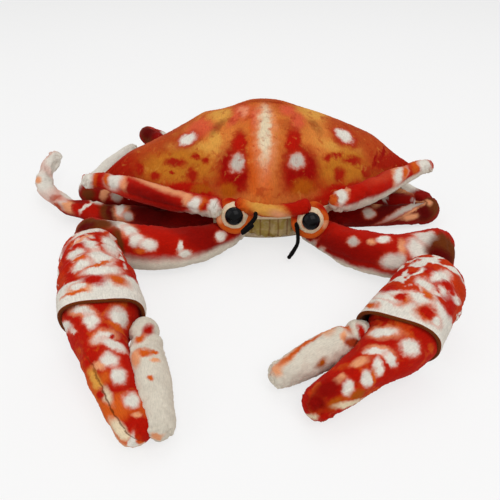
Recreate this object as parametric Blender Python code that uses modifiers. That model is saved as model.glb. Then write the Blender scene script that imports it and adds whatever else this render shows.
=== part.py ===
"""Plush crab: a domed carapace over a stuffed belly, stalked eyes, two claws and eight legs.

Units are metres, +Z is up and the crab faces -Y. The origin lies on the floor under the middle
of the belly, which is flat where the toy rests. Every soft piece is the closed solid of its
cover and fibre together, apart from the body, whose two covers and filling are separate.
"""
import math

import bmesh
import bpy
from mathutils import Matrix, Vector

# Clearance that every two neighbouring pieces keep, and the shortest edge that a cut may leave
CLEARANCE = 0.0004
SHORTEST_EDGE = 0.00008

# Carapace
CARAPACE_REACH = {"left": 0.126, "right": 0.117}
CARAPACE_FRONT = 0.060
CARAPACE_BACK = 0.070
CORNER_SETBACK = 0.008
CARAPACE_HEIGHT = 0.089
SEAM_HEIGHT = 0.036
COVER_THICKNESS = 0.002
EDGE_HEIGHT = 0.005
EDGE_INSET_RATIO = 1.5
BODY_TURN = math.radians(3.0)
FRONT_CURVE_POWER = 3.0
BACK_CURVE_POWER = 1.3
SIDE_FALL_POWER = 2.8
FRONT_FALL_POWER = 1.4
EDGE_FULLNESS = 0.2
EDGE_ROUNDING_POWER = 0.8
BODY_CENTRE_SETBACK = 0.005

# Thorax and belly below the carapace's brim
THORAX_HALF_WIDTH = 0.062
THORAX_FRONT = 0.050
THORAX_BACK = 0.052
THORAX_TOP = 0.025
EDGE_SHARE = 0.97
EDGE_DROP = 0.0038
BRIM_SHARE = 0.84
BRIM_DROP = 0.0075
BELLY_SHARE = 0.80
BELLY_BEVEL = 0.006

# Rims along the carapace's front edges
RIM_RADIUS = 0.0062
RIM_TIP_RADIUS = 0.0050
RIM_RISE = 0.002
RIM_SEAT_SHARE = 0.6
RIM_TIP_OVERHANG = {"left": 0.012, "right": 0.008}
RIM_TIP_LIFT = {"left": 0.000, "right": 0.006}

# Eyes, one set of sizes and a place for each side
EYEBALL_RADIUS = 0.0095
EYE_RADIUS = 0.0055
EYE_DOME_PROUD = 0.0035
EYE_SHANK_RADIUS = 0.0012
EYE_SHANK_LENGTH = 0.0065
EYE_SKIRT = 0.0006
WASHER_RADIUS = 0.0040
WASHER_THICKNESS = 0.0012
WASHER_SETBACK = 0.0012
ORBIT_RING_RADIUS = 0.0098
ORBIT_TUBE_RADIUS = 0.0031
EYE_TILT = math.radians(24.0)
EYE_SIDE = {"left": 0.0235, "right": 0.0275}
EYE_DROP = {"left": 0.0035, "right": 0.0073}
EYE_SETBACK = 0.0020

# Bridge between the eyes and the face below it
BRIDGE_RADIUS = 0.0056
BRIDGE_SAG = 0.0040
BRIDGE_OVER_EYE = {"left": 0.0105, "right": 0.0145}
BRIDGE_BOW = 0.0015
FACE_HALF_WIDTH = 0.021
FACE_HALF_HEIGHT = 0.0120
FACE_HALF_DEPTH = 0.0060
FACE_DROP = 0.0145
FACE_SETBACK = 0.0110

# Antennae, short stiff black feelers. A step is a share of the length, a heading and a climb.
ANTENNA_RADIUS = 0.0012
ANTENNA_LENGTH = 0.030
ANTENNA_STEPS = {
    "left": ((0.25, -98, -20), (0.42, -32, -40), (0.33, -166, 42)),
    "right": ((0.24, -86, -30), (0.34, -85, -78), (0.42, -149, -63)),
}

# Claws. A step is a share of the length, a heading from the outward side to the back, and a climb.
ARM_ROOT_SIDE = 0.022
ARM_ROOT_DEPTH = 0.010
ARM_ROOT_LIFT = 0.0020
ARM_RADII = (0.0085, 0.0100, 0.0125, 0.0132, 0.0130, 0.0120)
ARM_LENGTH = {"left": 0.107, "right": 0.096}
ARM_STEPS = {
    "left": ((0.1869, -48, 0), (0.2243, -35, 2), (0.2336, -12, 4), (0.1869, 2, 6), (0.1682, -6, 8)),
    "right": ((0.2089, -48, 0), (0.2694, -46, 3), (0.2127, -32, 6), (0.1792, -18, 5), (0.1298, -20, 7)),
}
SLEEVE_RADII = (0.0150, 0.0175, 0.0190, 0.0200, 0.0200)
SLEEVE_LENGTH = {"left": 0.078, "right": 0.081}
SLEEVE_STEPS = {
    "left": ((0.3038, -102, 3), (0.2853, -112, 0), (0.2322, -113, -5), (0.1786, -109, -4)),
    "right": ((0.2644, -99, 5), (0.2786, -123, 1), (0.2444, -128, -4), (0.2126, -129, -5)),
}
SLEEVE_OVERLAP = 0.005
HAND_RADII = (0.0150, 0.0145, 0.0122, 0.0096, 0.0080, 0.0066)
HAND_LENGTH = {"left": 0.082, "right": 0.070}
HAND_STEPS = {
    "left": (
        (0.1673, -104, -11), (0.1995, -106, -7), (0.2623, -120, -8),
        (0.2221, -121, -8), (0.1487, -128, -9),
    ),
    "right": (
        (0.2323, -125, -11), (0.2278, -140, -5), (0.2329, -146, -11),
        (0.1917, -148, -11), (0.1152, -150, -14),
    ),
}
HAND_INSET = 0.010
FINGER_RADII = (0.0072, 0.0078, 0.0076, 0.0070, 0.0064, 0.0052)
FINGER_LENGTH = {"left": 0.064, "right": 0.052}
FINGER_STEPS = {
    "left": (
        (0.2511, -106, -4), (0.2347, -107, -8), (0.2095, -109, -11),
        (0.1936, -107, -9), (0.1111, -102, -12),
    ),
    "right": (
        (0.1883, -151, -6), (0.2040, -158, -14), (0.2123, -157, -11),
        (0.2052, -153, -11), (0.1901, -160, -12),
    ),
}
FINGER_OFFSET = {"left": (0.0266, -157, -7), "right": (0.0252, -169, -7)}

# Walking legs, numbered from the front
LEG_RADII = (0.0080, 0.0083, 0.0078, 0.0080, 0.0074, 0.0068, 0.0060, 0.0056)
LEG_ROOT_DEPTH = 0.014
LEG_ROOT_BEARINGS = {1: -45, 2: -14, 3: 18, 4: 46}
LEG_ROOT_LIFT = {1: -0.0005, 2: 0.0, 3: 0.0005, 4: 0.0015}
LEG_LENGTH = {
    ("left", 1): 0.215,
    ("left", 2): 0.201,
    ("left", 3): 0.161,
    ("left", 4): 0.172,
    ("right", 1): 0.188,
    ("right", 2): 0.158,
    ("right", 3): 0.162,
    ("right", 4): 0.154,
}
LEG_STEPS = {
    ("left", 1): ((0.2558, 1, 0), (0.2233, 11, 0), (0.1256, 23, 1), (0.1860, 47, 6), (0.2093, 86, 9)),
    ("left", 2): ((0.2637, 8, 0), (0.2289, 14, 1), (0.1990, 91, 0), (0.0995, 98, 0), (0.2090, 106, 0)),
    ("left", 3): ((0.2422, 38, 0), (0.2236, 48, 0), (0.1739, 75, -4), (0.1615, 100, -4), (0.1988, 120, -3)),
    ("left", 4): (
        (0.2674, 34, 15), (0.2558, 37, 13), (0.1453, 100, -21),
        (0.1453, 115, -27), (0.1860, 130, -13),
    ),
    ("right", 1): (
        (0.2660, 2, -1), (0.2340, 14, -2), (0.1596, 112, 8),
        (0.1596, 130, 4), (0.1809, 112, -2),
    ),
    ("right", 2): ((0.2405, 10, -4), (0.1899, 6, -2), (0.1772, 100, 0), (0.1772, 104, 0), (0.2152, 96, 0)),
    ("right", 3): (
        (0.2593, 60, -2), (0.2346, 66, 0), (0.1605, 95, -4),
        (0.1605, 120, -2), (0.1852, 140, 0),
    ),
    ("right", 4): (
        (0.2727, 78, -3), (0.2338, 86, 0), (0.1558, 140, -4),
        (0.1558, 165, -2), (0.1818, 175, 0),
    ),
}

# Fineness of the meshes
BODY_SEGMENTS = 32
BODY_RINGS = 14
BALL_SEGMENTS = 16
LIMB_SIDES_RESOLUTION = 3
LIMB_STATIONS = 8
END_STATIONS = 3
RIM_POINTS = 6

SIDES = {"left": -1, "right": 1}
BODY_FRAME = Matrix.Rotation(BODY_TURN, 4, "Z")

COLOURS = {
    "printed_plush": ((0.55, 0.06, 0.02), 0.90),
    "belly_plush": ((0.80, 0.62, 0.42), 0.90),
    "fibre": ((0.90, 0.90, 0.88), 0.95),
    "face_plush": ((0.80, 0.62, 0.36), 0.90),
    "orbit_plush": ((0.50, 0.16, 0.04), 0.90),
    "eyeball_plush": ((0.85, 0.72, 0.55), 0.90),
    "black_plastic": ((0.01, 0.01, 0.01), 0.12),
    "white_plastic": ((0.85, 0.85, 0.83), 0.45),
    "black_cord": ((0.02, 0.02, 0.02), 0.80),
}


def clear_scene():
    """Remove every object of the scene, so that the file starts empty."""
    for old in list(bpy.data.objects):
        bpy.data.objects.remove(old, do_unlink=True)


def make_collections():
    """Return the collection of the parts and the hidden collection of the cutters."""
    parts = bpy.data.collections.new("plush_crab")
    cutters = bpy.data.collections.new("cutters")
    bpy.context.scene.collection.children.link(parts)
    bpy.context.scene.collection.children.link(cutters)
    return parts, cutters


def make_materials():
    """Return one Principled material for each kind of cloth and plastic."""
    materials = {}
    for name, (colour, roughness) in COLOURS.items():
        material = bpy.data.materials.new(name)
        material.use_nodes = True
        shader = material.node_tree.nodes["Principled BSDF"]
        shader.inputs["Base Color"].default_value = (*colour, 1.0)
        shader.inputs["Roughness"].default_value = roughness
        shader.inputs["Metallic"].default_value = 0.0
        materials[name] = material
    return materials


clear_scene()
PARTS, CUTTERS = make_collections()
MATERIALS = make_materials()


def add_piece(name, mesh, material):
    """Put a mesh in the parts collection as the named sub-part, shaded smooth."""
    piece = bpy.data.objects.new(name, mesh)
    PARTS.objects.link(piece)
    mesh.materials.clear()
    mesh.materials.append(MATERIALS[material])
    mesh.shade_smooth()
    return piece


def mesh_from(bm, name, turn_out=True):
    """Turn a finished bmesh into a mesh, its faces turned out unless they already are."""
    if turn_out:
        bmesh.ops.recalc_face_normals(bm, faces=bm.faces)
    mesh = bpy.data.meshes.new(name)
    bm.to_mesh(mesh)
    bm.free()
    return mesh


def grown_cutter(mesh, growth, name):
    """Return a hidden cutter: the mesh with each vertex moved out by growth along its normal."""
    bm = bmesh.new()
    bm.from_mesh(mesh)
    bm.normal_update()
    for vertex in bm.verts:
        vertex.co += vertex.normal * growth
    cutter = bpy.data.objects.new(name, mesh_from(bm, name, turn_out=False))
    cutter.hide_render = True
    cutter.display_type = "WIRE"
    CUTTERS.objects.link(cutter)
    return cutter


def boolean(piece, cutter, operation="DIFFERENCE"):
    """Add an exact Boolean with the cutter to the piece."""
    modifier = piece.modifiers.new(f"{operation.lower()} {cutter.name}", "BOOLEAN")
    modifier.operation = operation
    modifier.solver = "EXACT"
    modifier.object = cutter


def seat(piece, *forms):
    """Cut the piece back from each neighbour's form, which leaves the clearance between them."""
    for form in forms:
        boolean(piece, grown_cutter(form, CLEARANCE, f"seat_{piece.name}_{form.name}"))


def weld_short_edges(piece):
    """Weld the ends of the very short edges that the cuts leave on a piece."""
    weld = piece.modifiers.new("weld short edges", "WELD")
    weld.mode = "CONNECTED"
    weld.merge_threshold = SHORTEST_EDGE


def ball(name, radius, centre, axes=(1.0, 1.0, 1.0)):
    """Return the mesh of a ball, or of an ellipsoid where the axes differ."""
    bm = bmesh.new()
    placed = Matrix.Translation(centre) @ Matrix.Diagonal((*axes, 1.0))
    bmesh.ops.create_uvsphere(
        bm, u_segments=BALL_SEGMENTS, v_segments=BALL_SEGMENTS // 2, radius=radius, matrix=placed
    )
    return mesh_from(bm, name)


def heading_vector(side, heading, climb):
    """Return the unit direction of a step on one side of the body."""
    turn, rise = math.radians(heading), math.radians(climb)
    flat = math.cos(rise)
    return Vector((SIDES[side] * flat * math.cos(turn), flat * math.sin(turn), math.sin(rise)))


def walk(side, start, length, steps):
    """Return the points reached from the start by steps that share the length between them."""
    points = [Vector(start)]
    for share, heading, climb in steps:
        points.append(points[-1] + length * share * heading_vector(side, heading, climb))
    return points


def spline_point(points, place):
    """Catmull-Rom point at a place counted in spans from the first point."""
    span = min(int(place), len(points) - 2)
    t = place - span
    before = points[max(span - 1, 0)]
    here, there = points[span], points[span + 1]
    after = points[min(span + 2, len(points) - 1)]
    return 0.5 * (
        2.0 * here
        + t * (there - before)
        + t * t * (2.0 * before - 5.0 * here + 4.0 * there - after)
        + t ** 3 * (3.0 * here - before - 3.0 * there + after)
    )


def share_between(values, place):
    """Read a list of values at a place counted in spans, by straight interpolation."""
    span = min(int(place), len(values) - 2)
    return values[span] + (place - span) * (values[span + 1] - values[span])


def stuffed_tube(name, points, radii, round_start=True, round_end=True):
    """Return the mesh of a stuffed tube through the points, with a radius at each point.

    The ends are rounded: near an end of radius r, a station set in by r (1 - cos t) from the
    end has the radius r sin t.
    """
    last = len(points) - 1
    lengths = [(points[i + 1] - points[i]).length for i in range(last)]
    stations = []
    if round_start:
        for i in range(END_STATIONS):
            turn = math.radians(18.0 + 72.0 * i / END_STATIONS)
            stations.append((radii[0] * (1.0 - math.cos(turn)) / lengths[0], math.sin(turn)))
    first_full = radii[0] / lengths[0] if round_start else 0.0
    last_full = last - (radii[-1] / lengths[-1] if round_end else 0.0)
    for i in range(LIMB_STATIONS):
        stations.append((first_full + (last_full - first_full) * i / (LIMB_STATIONS - 1), 1.0))
    if round_end:
        for i in reversed(range(END_STATIONS)):
            turn = math.radians(18.0 + 72.0 * i / END_STATIONS)
            stations.append((last - radii[-1] * (1.0 - math.cos(turn)) / lengths[-1], math.sin(turn)))

    curve = bpy.data.curves.new(name, "CURVE")
    curve.dimensions = "3D"
    curve.bevel_depth = max(radii)
    curve.bevel_resolution = LIMB_SIDES_RESOLUTION
    curve.use_fill_caps = True
    spline = curve.splines.new("POLY")
    spline.points.add(len(stations) - 1)
    for point, (place, share) in zip(spline.points, stations):
        point.co = (*spline_point(points, place), 1.0)
        point.radius = share * share_between(radii, place * (len(radii) - 1) / last) / max(radii)

    holder = bpy.data.objects.new(name, curve)
    CUTTERS.objects.link(holder)
    evaluated = holder.evaluated_get(bpy.context.evaluated_depsgraph_get())
    mesh = bpy.data.meshes.new_from_object(evaluated)
    mesh.name = name
    bpy.data.objects.remove(holder, do_unlink=True)
    bm = bmesh.new()
    bm.from_mesh(mesh)
    bmesh.ops.remove_doubles(bm, verts=bm.verts, dist=1e-6)
    bm.to_mesh(mesh)
    bm.free()
    return mesh


def carapace_outline(angle):
    """Return the point of the carapace's plan outline at an angle from +X."""
    side, depth = math.cos(angle), abs(math.sin(angle))
    reach = CARAPACE_REACH["right" if side > 0.0 else "left"]
    if math.sin(angle) < 0.0:
        y = -CORNER_SETBACK - (CARAPACE_FRONT - CORNER_SETBACK) * depth ** FRONT_CURVE_POWER
    else:
        y = -CORNER_SETBACK + (CARAPACE_BACK + CORNER_SETBACK) * depth ** BACK_CURVE_POWER
    return Vector((reach * side, y, 0.0))


def thorax_outline(angle):
    """Return the point of the thorax's oval plan outline at an angle from +X."""
    reach = THORAX_FRONT if math.sin(angle) < 0.0 else THORAX_BACK
    return Vector((THORAX_HALF_WIDTH * math.cos(angle), reach * math.sin(angle), 0.0))


def dome_point(angle, share):
    """Return the carapace's surface point, its share going from 0 at the top to 1 at the seam."""
    middle = Vector((0.0, BODY_CENTRE_SETBACK, 0.0))
    out = math.sin(share * math.pi / 2.0)
    fall = SIDE_FALL_POWER * math.cos(angle) ** 2 + FRONT_FALL_POWER * math.sin(angle) ** 2
    point = middle.lerp(carapace_outline(angle), out)
    level = math.cos(share * math.pi / 2.0)
    swell = (1.0 - EDGE_FULLNESS) * level ** fall + EDGE_FULLNESS * level ** EDGE_ROUNDING_POWER
    point.z = SEAM_HEIGHT + (CARAPACE_HEIGHT - SEAM_HEIGHT) * swell
    return point


def underside_point(angle, share):
    """Return the underside's surface point, its share going from 0 at the seam to 1 at the middle."""
    seam, thorax = carapace_outline(angle), thorax_outline(angle)
    seam.z = SEAM_HEIGHT
    edge = thorax.lerp(seam, EDGE_SHARE)
    edge.z = SEAM_HEIGHT - EDGE_DROP
    brim = thorax.lerp(seam, BRIM_SHARE)
    brim.z = SEAM_HEIGHT - BRIM_DROP
    neck = thorax * 1.0
    neck.z = THORAX_TOP
    hip = thorax * 1.0
    hip.z = THORAX_TOP / 2.0
    bevel = thorax * (BELLY_SHARE + 1.0) * 0.5
    bevel.z = BELLY_BEVEL * 0.3
    belly = thorax * BELLY_SHARE
    profile = (seam, edge, brim, neck, hip, bevel, belly, Vector((0.0, 0.0, 0.0)))
    place = share * (len(profile) - 1)
    span = min(int(place + 1e-6), len(profile) - 2)
    return profile[span].lerp(profile[span + 1], place - span)


def moved_in(point, angle, inset):
    """Return the surface point moved in by a wall's thickness.

    The height changes by the whole inset once the point is EDGE_HEIGHT from the seam, and the plan
    shrinks about the body's middle by EDGE_INSET_RATIO times the inset at the outline.
    """
    middle = Vector((0.0, BODY_CENTRE_SETBACK, 0.0))
    reach = (carapace_outline(angle) - middle).length
    height = point.z - SEAM_HEIGHT
    inner = middle + (point - middle) * (1.0 - EDGE_INSET_RATIO * inset / reach)
    share = max(-1.0, min(1.0, height / EDGE_HEIGHT))
    inner.z = SEAM_HEIGHT + height - inset * share
    return inner


def body_form(name, inset=0.0):
    """Return the body as one closed mesh: a sphere whose points are moved to the surface."""
    bm = bmesh.new()
    bmesh.ops.create_uvsphere(bm, u_segments=BODY_SEGMENTS, v_segments=BODY_RINGS, radius=1.0)
    for vertex in bm.verts:
        angle = math.atan2(vertex.co.y, vertex.co.x)
        share = 1.0 - math.asin(max(-1.0, min(1.0, vertex.co.z))) / (math.pi / 2.0)
        if share <= 1.0:
            point = dome_point(angle, share)
        else:
            point = underside_point(angle, share - 1.0)
        vertex.co = BODY_FRAME @ moved_in(point, angle, inset)
    return mesh_from(bm, name)


def seat_on_body(piece):
    """Cut the piece back from the body, grown by the clearance along its own surface formula."""
    boolean(piece, grown_cutter(body_form("body_room", -CLEARANCE), 0.0, f"seat_{piece.name}_body"))


def half_space(name, above):
    """Return a large box that holds everything above, or below, the seam."""
    size = 4.0 * max(CARAPACE_REACH.values())
    offset = (size + CLEARANCE) / 2.0
    bm = bmesh.new()
    middle = Vector((0.0, 0.0, SEAM_HEIGHT + (offset if above else -offset)))
    bmesh.ops.create_cube(bm, size=size, matrix=Matrix.Translation(middle))
    mesh = mesh_from(bm, name)
    return grown_cutter(mesh, 0.0, name)


def make_body(form):
    """Make the two body covers, open towards each other, and the filling between them."""
    for name, above, material in (
        ("carapace_cover", True, "printed_plush"),
        ("underside_cover", False, "belly_plush"),
    ):
        cover = add_piece(name, form.copy(), material)
        boolean(cover, grown_cutter(body_form("cavity", COVER_THICKNESS), 0.0, f"cavity_{name}"))
        boolean(cover, half_space(f"keep_{name}", above), "INTERSECT")
    add_piece("body_filling", body_form("filling", COVER_THICKNESS + CLEARANCE), "fibre")


def rim_form(side):
    """Return the rim's tube along the carapace's front edge, from the eye past the corner."""
    first = math.acos((EYE_SIDE[side] + ORBIT_RING_RADIUS) / CARAPACE_REACH[side])
    offset = RIM_RADIUS * RIM_SEAT_SHARE
    points = []
    for i in range(RIM_POINTS):
        share = i / (RIM_POINTS - 1.0)
        turn = first * (1.0 - share)
        angle = -turn if side == "right" else turn - math.pi
        point = carapace_outline(angle)
        if i < RIM_POINTS - 1:
            ahead = carapace_outline(angle + 0.01) - point
            point += Vector((ahead.y, -ahead.x, 0.0)).normalized() * offset
        else:
            point += Vector((SIDES[side] * RIM_TIP_OVERHANG[side], -offset, 0.0))
        point.z = SEAM_HEIGHT + RIM_RISE + RIM_TIP_LIFT[side] * share
        points.append(BODY_FRAME @ point)
    radii = [RIM_RADIUS] * (RIM_POINTS - 1) + [RIM_TIP_RADIUS]
    return stuffed_tube(f"rim_{side}_form", points, radii)


def eye_place(side):
    """Return the middle of the eyeball, below the seam and just behind the carapace's front."""
    forward = CARAPACE_FRONT - EYE_SETBACK
    return Vector((SIDES[side] * EYE_SIDE[side], -forward, SEAM_HEIGHT - EYE_DROP[side]))


def eye_frame(side):
    """Return the eye's frame: its origin in the eyeball's middle and its Z axis out of the eye."""
    return Matrix.Translation(eye_place(side)) @ Matrix.Rotation(math.pi / 2.0 - EYE_TILT, 4, "X")


def orbit_form(side):
    """Return the stuffed ring around the eyeball: a circle turned about the eye's axis."""
    bpy.ops.mesh.primitive_torus_add(
        major_radius=ORBIT_RING_RADIUS,
        minor_radius=ORBIT_TUBE_RADIUS,
        major_segments=BALL_SEGMENTS,
        minor_segments=BALL_SEGMENTS // 2,
    )
    ring = bpy.context.active_object
    mesh = ring.data
    mesh.name = f"orbit_{side}_form"
    bpy.data.objects.remove(ring, do_unlink=True)
    mesh.transform(eye_frame(side))
    return mesh


def turned(name, profile, frame):
    """Return the solid turned from a profile of (radius, height) points, from the axis to the axis."""
    mesh = bpy.data.meshes.new(name)
    edges = [(i, i + 1) for i in range(len(profile) - 1)]
    mesh.from_pydata([(radius, 0.0, height) for radius, height in profile], edges, [])
    holder = bpy.data.objects.new(name, mesh)
    CUTTERS.objects.link(holder)
    screw = holder.modifiers.new("turn", "SCREW")
    screw.steps = BALL_SEGMENTS
    screw.render_steps = BALL_SEGMENTS
    screw.use_merge_vertices = True
    screw.merge_threshold = 0.00001
    evaluated = holder.evaluated_get(bpy.context.evaluated_depsgraph_get())
    solid = bpy.data.meshes.new_from_object(evaluated)
    bpy.data.objects.remove(holder, do_unlink=True)
    bm = bmesh.new()
    bm.from_mesh(solid)
    bmesh.ops.remove_doubles(bm, verts=bm.verts, dist=1e-6)
    bm.transform(frame)
    return mesh_from(bm, name)


def eye_seat_height():
    """Return how far the plastic eye's flat back edge lies from the eyeball's middle."""
    return EYEBALL_RADIUS - EYE_DOME_PROUD * 0.5


def eye_form(side):
    """Return the plastic eye, a dome on a shank."""
    seat_height = eye_seat_height()
    dome = [
        (EYE_RADIUS * math.cos(t), seat_height + EYE_DOME_PROUD * math.sin(t))
        for t in (1.2, 0.8, 0.4, 0.0)
    ]
    foot = seat_height - EYE_SKIRT
    shank_end = seat_height - EYE_SHANK_LENGTH
    profile = [(0.0, seat_height + EYE_DOME_PROUD)] + dome
    profile += [(EYE_RADIUS, foot), (EYE_SHANK_RADIUS, foot), (EYE_SHANK_RADIUS, shank_end), (0.0, shank_end)]
    return turned(f"eye_{side}", profile, eye_frame(side))


def washer_form(side):
    """Return the locking washer near the shank's end, with its bore."""
    low = eye_seat_height() - EYE_SHANK_LENGTH + WASHER_SETBACK
    high = low + WASHER_THICKNESS
    bore = EYE_SHANK_RADIUS + CLEARANCE
    profile = [(bore, high), (WASHER_RADIUS, high), (WASHER_RADIUS, low), (bore, low), (bore, high)]
    return turned(f"eye_washer_{side}", profile, eye_frame(side))


def eye_hole_form(side):
    """Return the room for the eye, its shank and its washer in the eyeball, one turned cutter."""
    seat_height = eye_seat_height()
    foot = seat_height - EYE_SKIRT - CLEARANCE
    shank_end = seat_height - EYE_SHANK_LENGTH - CLEARANCE
    low = seat_height - EYE_SHANK_LENGTH + WASHER_SETBACK - CLEARANCE
    high = low + WASHER_THICKNESS + 2.0 * CLEARANCE
    bore = EYE_SHANK_RADIUS + CLEARANCE
    mouth = EYE_RADIUS + CLEARANCE
    room = WASHER_RADIUS + CLEARANCE
    profile = [(0.0, EYEBALL_RADIUS + EYE_DOME_PROUD), (mouth, EYEBALL_RADIUS + EYE_DOME_PROUD), (mouth, foot)]
    profile += [(bore, foot), (bore, high), (room, high), (room, low), (bore, low)]
    profile += [(bore, shank_end), (0.0, shank_end)]
    return turned(f"eye_hole_{side}", profile, eye_frame(side))


def bridge_points():
    """Return the middle line of the sagging roll between the eyes, from over the left eyeball."""
    left = eye_place("left") + Vector((0.0, 0.0, BRIDGE_OVER_EYE["left"]))
    right = eye_place("right") + Vector((0.0, 0.0, BRIDGE_OVER_EYE["right"]))
    points = []
    for share in (0.0, 0.25, 0.5, 0.75, 1.0):
        bow = math.sin(share * math.pi)
        points.append(left.lerp(right, share) - Vector((0.0, BRIDGE_BOW * bow, BRIDGE_SAG * bow)))
    return points


def bridge_form():
    """Return the sagging roll as a stuffed tube."""
    points = bridge_points()
    return stuffed_tube("bridge_form", points, [BRIDGE_RADIUS] * len(points))


def face_form():
    """Return the padded face below the bridge, a flattened ball."""
    between = (EYE_SIDE["right"] - EYE_SIDE["left"]) / 2.0
    middle = Vector((between, FACE_SETBACK - CARAPACE_FRONT, SEAM_HEIGHT - FACE_DROP))
    axes = (1.0, FACE_HALF_DEPTH / FACE_HALF_WIDTH, FACE_HALF_HEIGHT / FACE_HALF_WIDTH)
    return ball("face_form", FACE_HALF_WIDTH, middle, axes)


def antenna_form(side):
    """Return the feeler, rooted in the bridge on the left and in the orbit ring on the right."""
    if side == "left":
        root = bridge_points()[1]
    else:
        root = eye_frame(side).translation - Vector((ORBIT_RING_RADIUS, 0.0, 0.0))
    points = walk(side, root, ANTENNA_LENGTH, ANTENNA_STEPS[side])
    return stuffed_tube(f"antenna_{side}_form", points, [ANTENNA_RADIUS] * len(points))


def arm_route(side):
    """Return the upper arm's route from inside the thorax to the elbow."""
    forward = THORAX_FRONT - ARM_ROOT_DEPTH
    root = Vector((SIDES[side] * ARM_ROOT_SIDE, -forward, THORAX_TOP / 2.0 + ARM_ROOT_LIFT))
    return walk(side, BODY_FRAME @ root, ARM_LENGTH[side], ARM_STEPS[side])


def sleeve_route(side):
    """Return the forearm's route, which starts over the elbow."""
    elbow = arm_route(side)[-1]
    start = elbow - SLEEVE_OVERLAP * heading_vector(side, SLEEVE_STEPS[side][0][1], 0)
    return walk(side, start, SLEEVE_LENGTH[side], SLEEVE_STEPS[side])


def hand_route(side):
    """Return the hand's route, whose wrist lies inside the cuff."""
    cuff, last = sleeve_route(side)[-1], SLEEVE_STEPS[side][-1]
    wrist = cuff - HAND_INSET * heading_vector(side, last[1], last[2])
    return walk(side, wrist, HAND_LENGTH[side], HAND_STEPS[side])


def finger_route(side):
    """Return the movable finger's route, which starts beside the hand's palm."""
    length, heading, climb = FINGER_OFFSET[side]
    base = hand_route(side)[0] + length * heading_vector(side, heading, climb)
    return walk(side, base, FINGER_LENGTH[side], FINGER_STEPS[side])


def leg_form(side, number):
    """Return a walking leg, rooted inside the thorax wall."""
    bearing = math.radians(LEG_ROOT_BEARINGS[number])
    wall = thorax_outline(bearing)
    root = wall * (1.0 - LEG_ROOT_DEPTH / wall.length)
    root.x *= SIDES[side]
    root.z = THORAX_TOP / 2.0 + LEG_ROOT_LIFT[number]
    points = walk(side, BODY_FRAME @ root, LEG_LENGTH[side, number], LEG_STEPS[side, number])
    return stuffed_tube(f"leg_{side}_{number}_form", points, LEG_RADII)


def make_eye(side, orbit):
    """Make one eye: the orbit ring, the stuffed ball in it and the plastic eye with its washer."""
    ring = add_piece(f"orbit_ring_{side}", orbit.copy(), "orbit_plush")
    seat_on_body(ring)
    stuffed = ball(f"eyeball_{side}_form", EYEBALL_RADIUS, eye_frame(side).translation)
    eyeball = add_piece(f"eyeball_{side}", stuffed.copy(), "eyeball_plush")
    seat_on_body(eyeball)
    seat(eyeball, orbit)
    boolean(eyeball, grown_cutter(eye_hole_form(side), 0.0, f"hole_eye_{side}"))
    add_piece(f"eye_{side}", eye_form(side), "black_plastic")
    add_piece(f"eye_washer_{side}", washer_form(side), "white_plastic")
    return stuffed


def make_claw(side, *behind):
    """Make one claw: upper arm, forearm sleeve, hand with its fixed finger, and movable finger."""
    hand_solid = stuffed_tube(f"hand_{side}_form", hand_route(side), HAND_RADII)
    finger_solid = stuffed_tube(f"finger_{side}_form", finger_route(side), FINGER_RADII)
    sleeve_solid = stuffed_tube(f"sleeve_{side}_form", sleeve_route(side), SLEEVE_RADII, round_end=False)
    arm_solid = stuffed_tube(f"arm_{side}_form", arm_route(side), ARM_RADII)
    arm = add_piece(f"upper_arm_{side}", arm_solid.copy(), "printed_plush")
    seat_on_body(arm)
    seat(arm, *behind, sleeve_solid)
    sleeve = add_piece(f"forearm_sleeve_{side}", sleeve_solid, "printed_plush")
    seat(sleeve, hand_solid, finger_solid)
    add_piece(f"hand_{side}", hand_solid.copy(), "printed_plush")
    finger = add_piece(f"movable_finger_{side}", finger_solid, "printed_plush")
    seat(finger, hand_solid)
    return arm_solid


def main():
    """Model the crab from the body outwards."""
    make_body(body_form("body_form"))

    orbits = {side: orbit_form(side) for side in SIDES}
    bridge = bridge_form()
    face = face_form()
    balls = {side: make_eye(side, orbits[side]) for side in SIDES}
    roll = add_piece("front_bridge", bridge.copy(), "printed_plush")
    seat_on_body(roll)
    seat(roll, *orbits.values(), *balls.values())
    panel = add_piece("face_panel", face.copy(), "face_plush")
    seat_on_body(panel)
    seat(panel, bridge, *orbits.values(), *balls.values())
    for side in SIDES:
        rim = add_piece(f"rim_{side}", rim_form(side), "printed_plush")
        seat_on_body(rim)
        seat(rim, orbits[side], bridge, *balls.values())
        feeler = add_piece(f"antenna_{side}", antenna_form(side), "black_cord")
        seat(feeler, bridge, face, *orbits.values(), *balls.values())

    for side in SIDES:
        arm = make_claw(side, face, orbits[side], balls[side])
        above = []
        for number in (1, 2, 3, 4):
            solid = leg_form(side, number)
            leg = add_piece(f"leg_{side}_{number}", solid.copy(), "printed_plush")
            seat_on_body(leg)
            seat(leg, arm, *above)
            above.append(solid)
    for piece in PARTS.objects:
        if piece.modifiers:
            weld_short_edges(piece)


main()
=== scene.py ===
"""Plush crab, dressed: printed short-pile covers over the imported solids, camera, light and floor.

Metres, +Z up, the crab faces -Y. Each cover is a surface worked out on a grid, from the routes
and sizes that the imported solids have.
"""
import math

import bpy
import numpy as np
from mathutils import Matrix, Vector


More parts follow.
